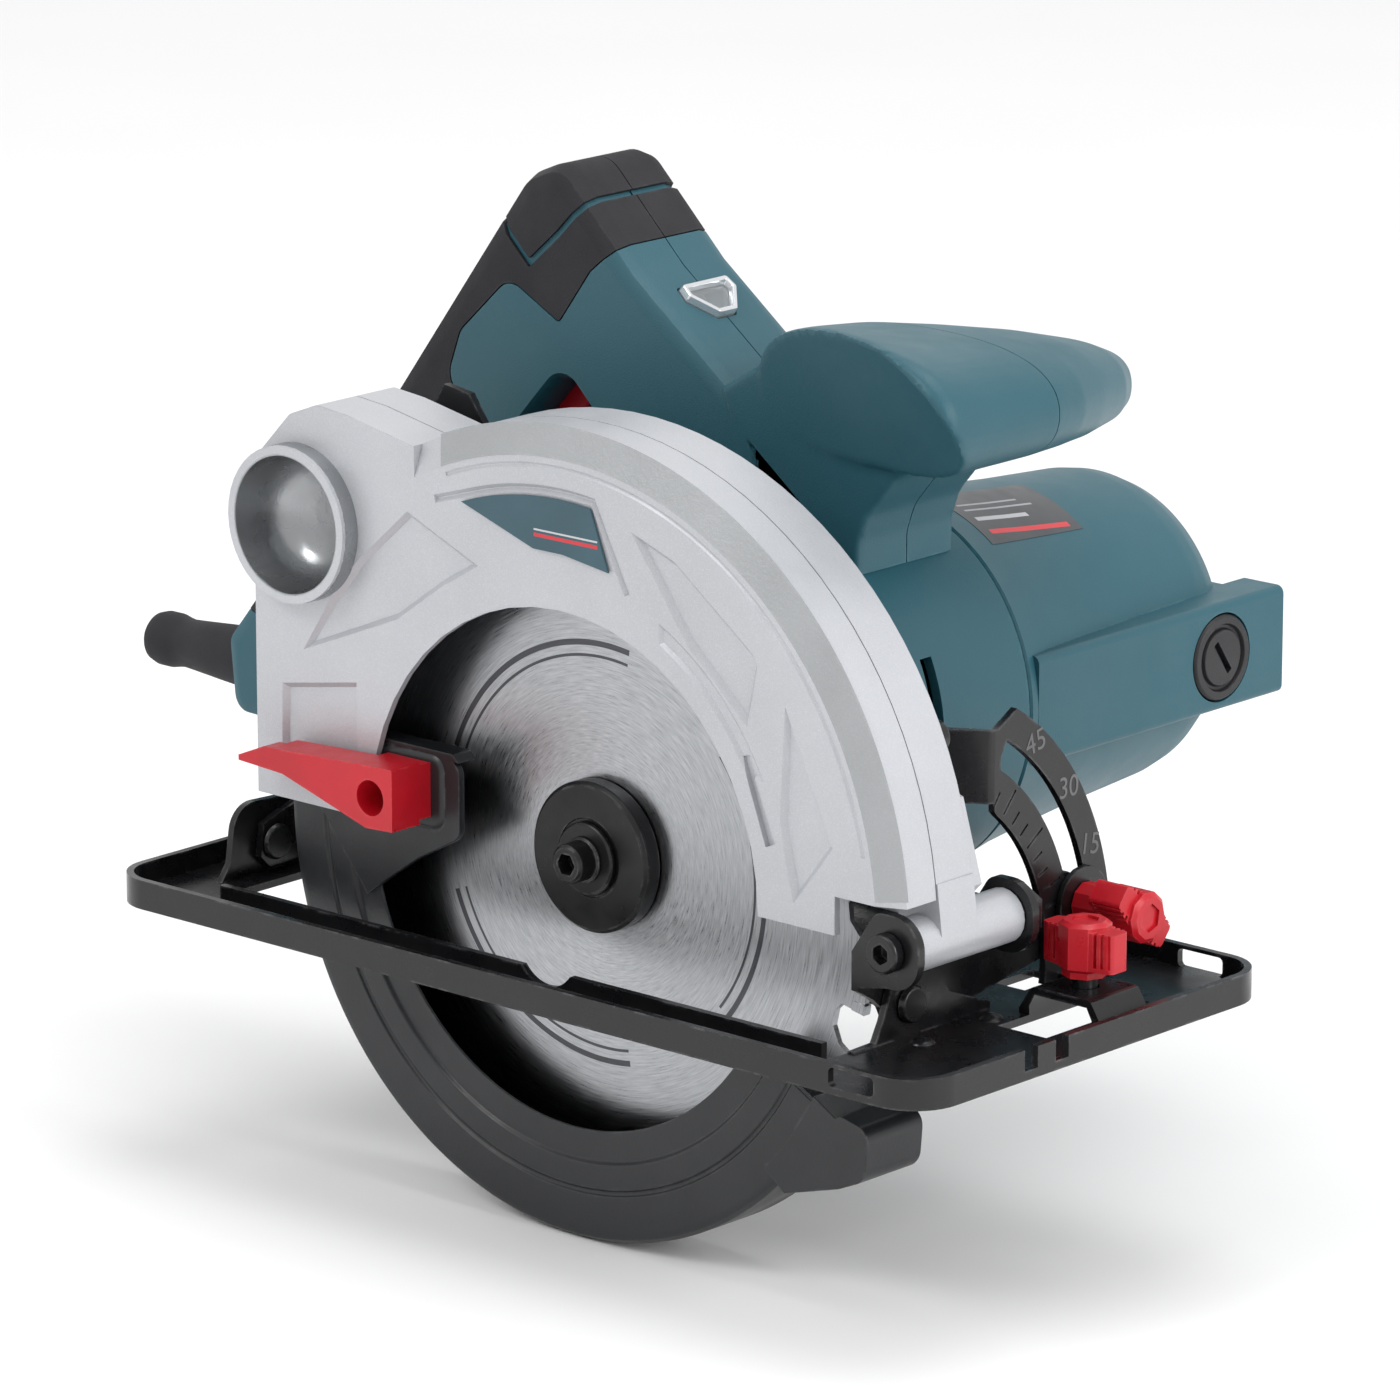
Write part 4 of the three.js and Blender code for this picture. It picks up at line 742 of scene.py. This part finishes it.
def guard_cover():
    cover = copied("guard_cover")
    panels = [
        [(-88.5, 55.4), (-64.2, 59.7), (-64.5, 38.7), (-88.9, 34.2)],
        [(-63, 89.5), (-47.4, 103.2), (-25, 94), (-36, 87.6, 5), (-51, 77, 5), (-81.5, 64.6), (-73, 77.6)],
        [(22.2, 109.6), (38.8, 86.7), (57, 70.6), (60.4, 86.4, 4), (35.3, 104.9, 4)],
        [(68.2, 77.4), (82.3, 47.2), (70.8, 32.4), (66.8, 50.4)],
    ]
    crescent = arc(0, HUB_Z, 69.5, 64, 27, 14) + arc(0, HUB_Z, 65.2, 29, 62, 14)
    slot = sweep("Y", outline([(55.3, 63.6), (57.2, 64.1), (65.4, 45.2), (62.6, 44)]), FACE_Y - 1, -14.1)
    frame_line = [(-38.6, 107.6)] + arc(0, HUB_Z, 87.8, 107.5, 83, 10) + [(21, 94.8)]
    rim_line = arc(0, HUB_Z, 93.2, 112, 12, 60)
    cut(cover, *[recess(p) for p in panels], recess(crescent, 0.8, 0.9), slot)
    return cut(cover, groove(frame_line), groove(rim_line, 1.4, 0.35))


def port_lining():
    """Bare metal of the dust port: its outer wall, its lip and the bowl behind its mouth."""
    wall = lathe("Y", [(16.4, -20.42), (17.6, -20.48), (18.3, -20.1), (18.76, -19.4), (18.78, -15.4),
                       (16.4, -19)], DUST_PORT, 96)
    bowl = lathe("Y", [(16.35, -20.2), (15.6, -13), (14.0, -8.6), (10.5, -6), (5, -5), (0, -4.8), (0, -4.6),
                       (14.9, -4.6), (15.7, -13), (16.5, -20.2)], DUST_PORT, 96)
    throat = outline([(-76, 81), (-68, 86), (-66, 96), (-70, 103), (-76, 104)])
    return gathered(wall, cut(bowl, sweep("Y", throat, -12, -4)))


def edge_band():
    """Grey band that follows the chamfer between the guard's face and its outer wall."""
    profile = [(95.35, -15.56), (102.5, -12.56), (102.3, -12.3), (95.35, -15.3)]
    return lathe("Y", profile, (0, HUB_Z), 120, 6, 112.5)


piece(guard_cover(), "upper_guard_cover", "saw_body", "cast_silver", ["guard_cover"], bevel=0.45, limit=28)
piece(port_lining(), "dust_port_lining", "saw_body", "cast_port", bevel=0)
piece(edge_band(), "guard_edge_band", "saw_body", "cast_grey", bevel=0)
piece(copied("gear_case"), "gear_case_casting", "saw_body", "cast_silver", ["gear_case"], bevel=0.45)
piece(copied("label_plate"), "cover_label", "saw_body", "label_foil", ["label_plate"], bevel=0.12)


# ---------------------------------------------------------------- blade clamp

flange = lathe("Y", [(5.4, -1.15), (17.9, -1.15), (17.9, -4.9), (17.0, -5.85), (9.3, -5.85), (9.3, -5.5),
                     (3.1, -5.5), (3.1, -3.8), (5.4, -3.8)], (0, HUB_Z), 128)
piece(flange, "outer_blade_flange", "blade_spindle", "spindle_steel", ["outer_flange"], bevel=0.2)
collar = lathe("Y", [(3, -6.2), (8.6, -6.2), (8.6, -7.0), (8.1, -7.4), (3, -7.4)], (0, HUB_Z), 96)
piece(collar, "blade_bolt_washer", "blade_spindle", "spindle_steel", ["bolt_washer"], bevel=0.15)
bolt = lathe("Y", [(0, -13.5), (3.9, -13.5), (4.6, -12.9), (4.7, -12.4), (4.7, -8.4), (5.4, -8.1),
                   (5.4, -7.65), (2.6, -7.65), (2.6, 10), (0, 10)], (0, HUB_Z), 64)
socket = [(2.7 * cos(radians(60 * k)), HUB_Z + 2.7 * sin(radians(60 * k))) for k in range(6)]
bolt = cut(bolt, sweep("Y", socket, -14, -9.6))
piece(bolt, "blade_clamp_bolt", "blade_spindle", "spindle_steel", ["blade_bolt"], bevel=0.25)
piece(copied("inner_flange"), "inner_blade_flange", "blade_spindle", "spindle_steel", ["inner_flange"],
      bevel=0.2)
piece(copied("saw_blade"), "toothed_blade", "blade_spindle", "blade_steel", ["saw_blade"], bevel=0.08,
      rings=1)


# ---------------------------------------------------------------- lower guard

def lower_guard():
    start, stop = -29, -190
    flange = [(62.9, -11.9), (70.0, -11.9), (70.8, -12.8), (76.7, -12.8), (76.9, -12.2), (77.9, -12.2),
              (78.1, -12.8), (86.6, -12.8), (88.4, -12.4), (89.4, -11.2), (89.4, 5.2), (88.6, 6.2),
              (86.9, 6.2), (86.9, -11.1), (62.9, -11.1)]
    drum = lathe("Y", flange, (0, HUB_Z), 96, start, stop)
    back = lathe("Y", band(22, 88, 4.4, 6.1), (0, HUB_Z), 72, start - 16, stop)
    ring = lathe("Y", [(20.3, 4.4), (26, 4.4), (26, 6.2), (20.3, 6.2)], (0, HUB_Z), 72)
    toe = arc(0, HUB_Z, 84.5, -45, -28, 12)
    toe += outline([(82, -15, 2), (91, -17, 4), (90, -29, 5), (82, -32.5, 3), (66, -37)])
    toe = sweep("Y", toe, -12.88, 6.28)
    arm = outline([(-64, 8), (-56, 14, 5), (-47, 20, 5), (-34, 27, 4), (-34, 45.6, 4), (-70, 45.6, 4),
                   (-82, 30)])
    plate = sweep("Y", arm, -12.9, -11)
    boss = outline([(-60, 27, 3), (-38, 27, 4.5), (-38, 46.4, 4.5), (-60, 46.4, 3)])
    boss = sweep("Y", boss, -13.6, -8, 2.2, 4)
    lip = outline([(-70, 45), (-82, 30), (-84.5, 30), (-72, 47), (-36, 47, 1.5), (-34, 45)])
    return gathered(drum, back, ring, toe, plate, boss, sweep("Y", lip, -12.95, -6.8))


piece(lower_guard(), "swinging_guard", "lower_guard", "black_guard", ["lower_guard"], bevel=0.5, tidy=False)
piece(copied("guard_lever"), "retracting_lever", "lower_guard", "red_plastic", ["guard_lever"], bevel=0.6)


# ---------------------------------------------------------------- motor

def front_housing():
    r = MOTOR_RADIUS
    shell = lathe("Y", [(16, 33.3), (r - 5, 33.3), (r - 1.6, 34.2), (r, 36.8), (r, 81.7), (r - 0.7, 82.4),
                        (r - 0.7, 82.85), (r - 2.6, 82.85), (r - 2.6, 38), (16, 36)], MOTOR, 144)
    x, z = MOTOR
    slots = [(47.5, 51.5, 1, 25)] + [(45, 50, a, a + 12) for a in (150, 170, 190, 210, 280, 300, 320)]
    cutters = []
    for y0, y1, low, high in slots:
        points = arc(x, z, r + 3, low, high, 8) + arc(x, z, r - 6, high, low, 8)
        cutters.append(sweep("Y", points, y0, y1))
    return cut(shell, *cutters)


def motor_housing():
    x, z = MOTOR
    start = MOTOR_PROFILE[0][1]
    inner = [(43, start - 1), (38.4, 120), (33.5, 166.5), (0, 166.5), (0, start - 1)]
    outer = [(0, start), (45.2, start), (45.7, start + 0.5)] + MOTOR_PROFILE[1:] + [(0, MOTOR_END)]
    body = lathe("Y", outer, MOTOR, 144)
    for side in (1, -1):
        u0, u1 = sorted((x, x + side * PAD))
        points = outline([(u0, z - 13.2, 2), (u1, z - 13.2, 2), (u1, z + 13.2, 2), (u0, z + 13.2, 2)])
        pad = sweep("Y", points, start + 3, 178)
        t0, t1 = sorted((x - side * 20, x + side * (PAD - 12)))
        body = join(body, cut(pad, block(t0, t1, MOTOR_END - 1, 182, z - 20, z + 20)))
    body = cut(body, lathe("Y", inner, MOTOR, 96), lathe("X", rod(8.4, x - 60, x + 60), (BRUSH_Y, z), 48),
               lathe("X", rod(10.9, x + PAD - 3.6, x + PAD + 5), (BRUSH_Y, z), 64),
               lathe("X", rod(10.9, x - PAD - 5, x - PAD + 3.6), (BRUSH_Y, z), 64))
    vents = [block(x - 16, x + 16, 150, MOTOR_END + 2, z + level - 1.6, z + level + 1.6)
             for level in (-20, -12, 12, 20)]
    return cut(body, *vents)


def brush_cap(side):
    x, z = MOTOR
    edge = [(0, PAD - 3.2), (10.5, PAD - 3.2), (10.5, PAD - 0.2), (9.9, PAD + 0.6), (8.3, PAD + 0.6),
            (7.9, PAD - 0.6), (7.1, PAD - 0.6), (6.7, PAD + 0.5), (0, PAD + 0.5)]
    cap = lathe("X", [(r, side * w) for r, w in edge], (0, 0), 72)
    slot = block(*sorted((side * (PAD - 1.4), side * (PAD + 3))), -0.85, 0.85, -4.6, 4.6)
    cap = cut(cap, moved(slot, Matrix.Rotation(radians(35), 4, "X")))
    return moved(cap, Matrix.Translation((x, BRUSH_Y, z)))


def rating_label():
    """Foil that follows the housing's taper."""
    x, z = MOTOR
    bm = bmesh.new()
    rows = []
    for i in range(13):
        y = 92 + 36 * i / 12
        radius = next(r0 + (r1 - r0) * (y - a) / (b - a) for (r0, a), (r1, b) in
                      zip(MOTOR_PROFILE, MOTOR_PROFILE[1:]) if a <= y <= b)
        radius += LABEL_LIFT
        rows.append([bm.verts.new((x + radius * cos(radians(t)), y, z + radius * sin(radians(t))))
                     for t in range(54, 85, 2)])
    for row, following in zip(rows, rows[1:]):
        for k in range(len(row) - 1):
            bm.faces.new((row[k], row[k + 1], following[k + 1], following[k]))
    obj = solid(bm)
    thick = obj.modifiers.new("foil", "SOLIDIFY")
    thick.thickness = 0.2
    return settle(obj)


piece(front_housing(), "front_motor_housing", "saw_body", "teal_plastic", ["front_housing"], bevel=0.35)
piece(motor_housing(), "rear_motor_housing", "saw_body", "teal_plastic", ["motor_housing"], bevel=0.6,
      rings=3)
piece(brush_cap(1), "brush_cap_front_side", "saw_body", "black_plastic", ["brush_cap_front"], bevel=0.2)
piece(brush_cap(-1), "brush_cap_rear_side", "saw_body", "black_plastic", ["brush_cap_rear"], bevel=0.2)
piece(rating_label(), "rating_foil", "saw_body", "print_dark", ["rating_label"], bevel=0)


# ---------------------------------------------------------------- handle

def ridge(x):
    """Height of the handle's ridge at a place along the saw."""
    return 172.7 - tan(radians(RIDGE_ANGLE)) * (x + 57.3)


def handle_body(grow=0, chamfer=5.2):
    end = NECK_FRONT - 3
    points = outline([(end, 84), (12, 84), (-18, 60), (-20, 40), (-55, 36, 10), (-100, 22, 14),
                      (-166, 22, 6), (-168, 42, 6), (-110, 112), (-66, 170.5, 9), (-54, 175.5, 8),
                      (-30, ridge(-30)), (end, ridge(end))])
    if grow:
        points = offset(points, grow)
    hole = outline([(-53, 126, 5), (-84, 92), (-116, 52, 10), (-58, 48, 10), (-44, 64, 4), (-36, 82, 12),
                    (-24, 97, 6)])
    body = sweep("Y", points, LEFT - grow, RIGHT + grow, chamfer, 2)
    opening = sweep("Y", hole, LEFT - 5, RIGHT + 5)
    flare = [sweep("Y", offset(hole, 4), LEFT - 4, LEFT + 4, far_points=offset(hole, -1)),
             sweep("Y", offset(hole, 4), RIGHT + 4, RIGHT - 4, far_points=offset(hole, -1))]
    return cut(body, opening, *flare)


# Where the rubber lies on the rear handle, and the line of the groove across its top.
GRIP = outline([(-172, 52), (-160, 62), (-120, 115), (-74, 180), (-50, 184), (-33, 160), (-44, 151),
                (-54, 137.5, 1), (-70, 146, 6), (-86, 131, 6), (-90, 120, 6), (-84, 108, 4), (-96, 88),
                (-128, 46)])
GROOVE = [(-80, 168), (-73, 159.5), (-63.5, 150.2), (-54, 158.5), (-44.5, 168)]


def groove_cutters():
    quads = []
    for start, stop in zip(GROOVE, GROOVE[1:]):
        a, b = Vector(start), Vector(stop)
        along = (b - a).normalized()
        side = Vector((-along.y, along.x)) * 0.85
        a, b = a - along * 0.5, b + along * 0.5
        quad = [tuple(a - side), tuple(b - side), tuple(b + side), tuple(a + side)]
        quads.append(sweep("Y", quad, LEFT - 6, RIGHT + 6))
    return quads


def halves(obj):
    """The left and right halves of a moulding, parted at the handle's middle plane."""
    mesh = obj.data.copy()
    other = bpy.data.objects.new("half", mesh)
    scene.collection.objects.link(other)
    left = cut(obj, block(-230, 230, HANDLE_Y - SEAM, 190, -60, 260))
    right = cut(other, block(-230, 230, -60, HANDLE_Y + SEAM, -60, 260))
    return left, right


def front_grip():
    """The front grip on its neck, hollowed along the ridge, its edges softened by remeshing."""
    # (y, x and z of the middle, half width, half height)
    sections = [(21.2, 50, 134.5, 31.5, 14), (22.2, 49.7, 134.5, 33.8, 16), (25, 49.2, 134.5, 35.6, 17.2),
                (32, 47.5, 134.3, 37.5, 16.8), (45, 46, 133.7, 39, 16), (60, 46, 133, 39.2, 15),
                (72, 49, 132.3, 33.5, 14), (85, 53, 131.3, 24.5, 12.8), (100, 54.5, 130, 17, 10.2),
                (110, 54, 128.6, 10.8, 7.8), (116, 53.6, 127.5, 6, 5), (119.2, 53.5, 127.1, 2.6, 2.4)]
    around = 64
    bm = bmesh.new()
    rings = []
    for y, x, z, wide, high in sections:
        ring = []
        for k in range(around):
            t = 2 * pi * k / around
            fullness = 1 + 0.03 * cos(4 * t + pi)
            ring.append(bm.verts.new((x + wide * cos(t) * fullness, y, z + high * sin(t) * fullness)))
        rings.append(ring)
    for ring, following in zip(rings, rings[1:]):
        for k in range(around):
            bm.faces.new((ring[k], ring[(k + 1) % around], following[(k + 1) % around], following[k]))
    for ring in (rings[0], rings[-1]):
        bm.faces.new(ring)
    grip = solid(bm)
    neck = outline([(-4, 129), (10, 137.5), (40, 141), (66, 134), (62, 121), (50, 116, 7), (41.5, 106, 8),
                    (NECK_FRONT, 99), (NECK_FRONT, 88), (12, 88)])
    neck = sweep("Y", neck, LEFT, RIGHT, 1.2, 2)
    fairing = hull([(-3, HANDLE_Y, 131), (5, 44.5, 126), (5, 75.5, 126), (10, 45, 135.4), (10, 75, 135.4),
                    (28, 44, 143), (28, 75, 142), (30, 44, 120), (30, 76, 120), (18, HANDLE_Y, 141.5)])
    scoop = lathe("X", rod(SCOOP_RADIUS, -60, 120), (0, 0), 180)
    scoop = moved(scoop, Matrix.Translation((0, LEFT - SCOOP_RADIUS, ridge(0)))
                  @ Matrix.Rotation(radians(RIDGE_ANGLE), 4, "Y"))
    grip = cut(join(grip, neck, fairing), scoop)
    remesh = grip.modifiers.new("blend", "REMESH")
    remesh.mode = "VOXEL"
    remesh.voxel_size = 0.9
    smooth = grip.modifiers.new("soften", "SMOOTH")
    smooth.factor = 0.5
    smooth.iterations = 7
    return cut(settle(grip), lathe("Y", rod(SADDLE_RADIUS, 10, 90), MOTOR, 144))


def shield(inset, radius):
    """The window's outline, drawn in and with its corners rounded."""
    return outline([(u, v, radius) for u, v in offset(LENS, -inset)])


def window_place():
    return (Matrix.Translation((LENS_X, HANDLE_Y, ridge(LENS_X)))
            @ Matrix.Rotation(radians(RIDGE_ANGLE), 4, "Y"))


def window():
    """Clear indicator window and the bright faceted rim round it, let into the ridge."""
    rim = sweep("Z", shield(0, 1), -1.7, 1.9, far_points=shield(0.5, 0.8))
    rim = cut(rim, sweep("Z", shield(2.9, 0.25), -3, 2.4, far_points=shield(1.4, 0.5)))
    pane = sweep("Z", shield(2.2, 0.3), -0.3, 0.5, far_points=shield(1.95, 0.35))
    return moved(rim, window_place()), moved(pane, window_place())


def handle_cutters(side):
    """The slot of the trigger, the seats of window and cord relief, and those of the right side."""
    slot = [(-65.3, 135.1), (-52.6, 123.5), (-66.8, 107.9), (-79.5, 119.5)]
    seat = moved(sweep("Z", shield(-0.15, 1), -1.9, 6), window_place())
    cutters = [sweep("Y", slot, 53.7, 66.3), seat, lathe("X", rod(8.7, -178, -150), (HANDLE_Y, CORD_Z), 48)]
    if side == "right":
        cutters.append(lathe("Y", rod(5.2, HANDLE_Y + 6, 100), LOCK_OFF, 48))
        cutters += [lathe("Y", rod(4.4, 72.7, 90), spot, 48) for spot in HANDLE_SCREWS]
    return cutters


def handle():
    """Two shells, a teal core that shows in the groove, the rubber over it and the front grip."""
    saddle = lathe("Y", rod(SADDLE_RADIUS, 30, 90), MOTOR, 144)
    shell = cut(handle_body(), saddle, sweep("Y", offset(GRIP, 0.35), LEFT - 6, RIGHT + 6))
    rubber = common(handle_body(0.05), sweep("Y", GRIP, LEFT - 6, RIGHT + 6))
    rubber = cut(rubber, *groove_cutters())
    core = common(handle_body(-0.9, 4.6), sweep("Y", offset(GRIP, 2), LEFT - 6, RIGHT + 6))
    mouldings = [(shell, "handle_shell", "teal_plastic", {"left": "handle_left", "right": "handle_right"}),
                 (core, "handle_core", "teal_plastic", {}),
                 (rubber, "handle_overmould", "grip_rubber", {"left": "grip_left", "right": "grip_right"})]
    for obj, title, material, nodes in mouldings:
        for half, side in zip(halves(obj), ("left", "right")):
            half = cut(half, *handle_cutters(side))
            replaced = [nodes[side]] if side in nodes else []
            piece(half, f"{title}_{side}", "saw_body", material, replaced, bevel=0.5)
    for half, side in zip(halves(front_grip()), ("left", "right")):
        piece(half, f"front_grip_{side}", "saw_body", "teal_plastic", bevel=0, tidy=False)


handle()


def screw_head(x, z, start, stop, radius, facing):
    """A screw with a cross recess; facing is the end that shows."""
    head = lathe("Y", rod(radius, start, stop), (x, z), 40)
    low, high = (stop - 1.2, stop + 1) if facing > 0 else (start - 1, start + 1.2)
    reach, half = 2.3, 0.45
    return cut(head, block(x - reach, x + reach, low, high, z - half, z + half),
               block(x - half, x + half, low, high, z - reach, z + reach))


for number, (x, z) in enumerate(HANDLE_SCREWS, 1):
    piece(screw_head(x, z, 62, 76.2, 3.9, 1), f"handle_fixing_{number}", "saw_body", "black_steel",
          [f"handle_screw_{number}"], bevel=0.25)
for number, (x, z) in enumerate(COVER_SCREWS, 1):
    piece(screw_head(x, z, 10.3, 13.3, 3.9, 1), f"cover_fixing_{number}", "saw_body", "black_steel",
          [f"cover_screw_{number}"], bevel=0.25)

piece(copied("trigger"), "trigger_blade", "trigger", "red_plastic", ["trigger"], bevel=0.9, rings=3)
piece(copied("lock_off_button"), "lock_off_cap", "lock_off", "black_plastic", ["lock_off_button"], bevel=0.3)
piece(copied("spindle_lock_button"), "spindle_lock_cap", "spindle_lock", "black_plastic",
      ["spindle_lock_button"], bevel=0.3)
piece(copied("depth_lever"), "depth_clamp_lever", "depth_lever", "black_plastic", ["depth_lever"], bevel=0.8,
      rings=3)

boot = lathe("X", [(3.6, -207.95), (5.0, -207.95), (6.3, -206.6), (6.9, -204.5), (6.9, -201), (6.4, -198.6),
                   (6.1, -196.4), (6.4, -192), (7.2, -182), (8.2, -168), (8.2, -155.3), (3.6, -155.3)],
             (HANDLE_Y, CORD_Z), 72)
piece(boot, "cord_relief", "saw_body", "grip_rubber", ["cord_boot"], bevel=0.25)


rim, pane = window()
piece(rim, "indicator_rim", "saw_body", "window_rim", ["indicator_lens"], bevel=0.25)
piece(pane, "indicator_pane", "saw_body", "clear_lens", bevel=0.15)
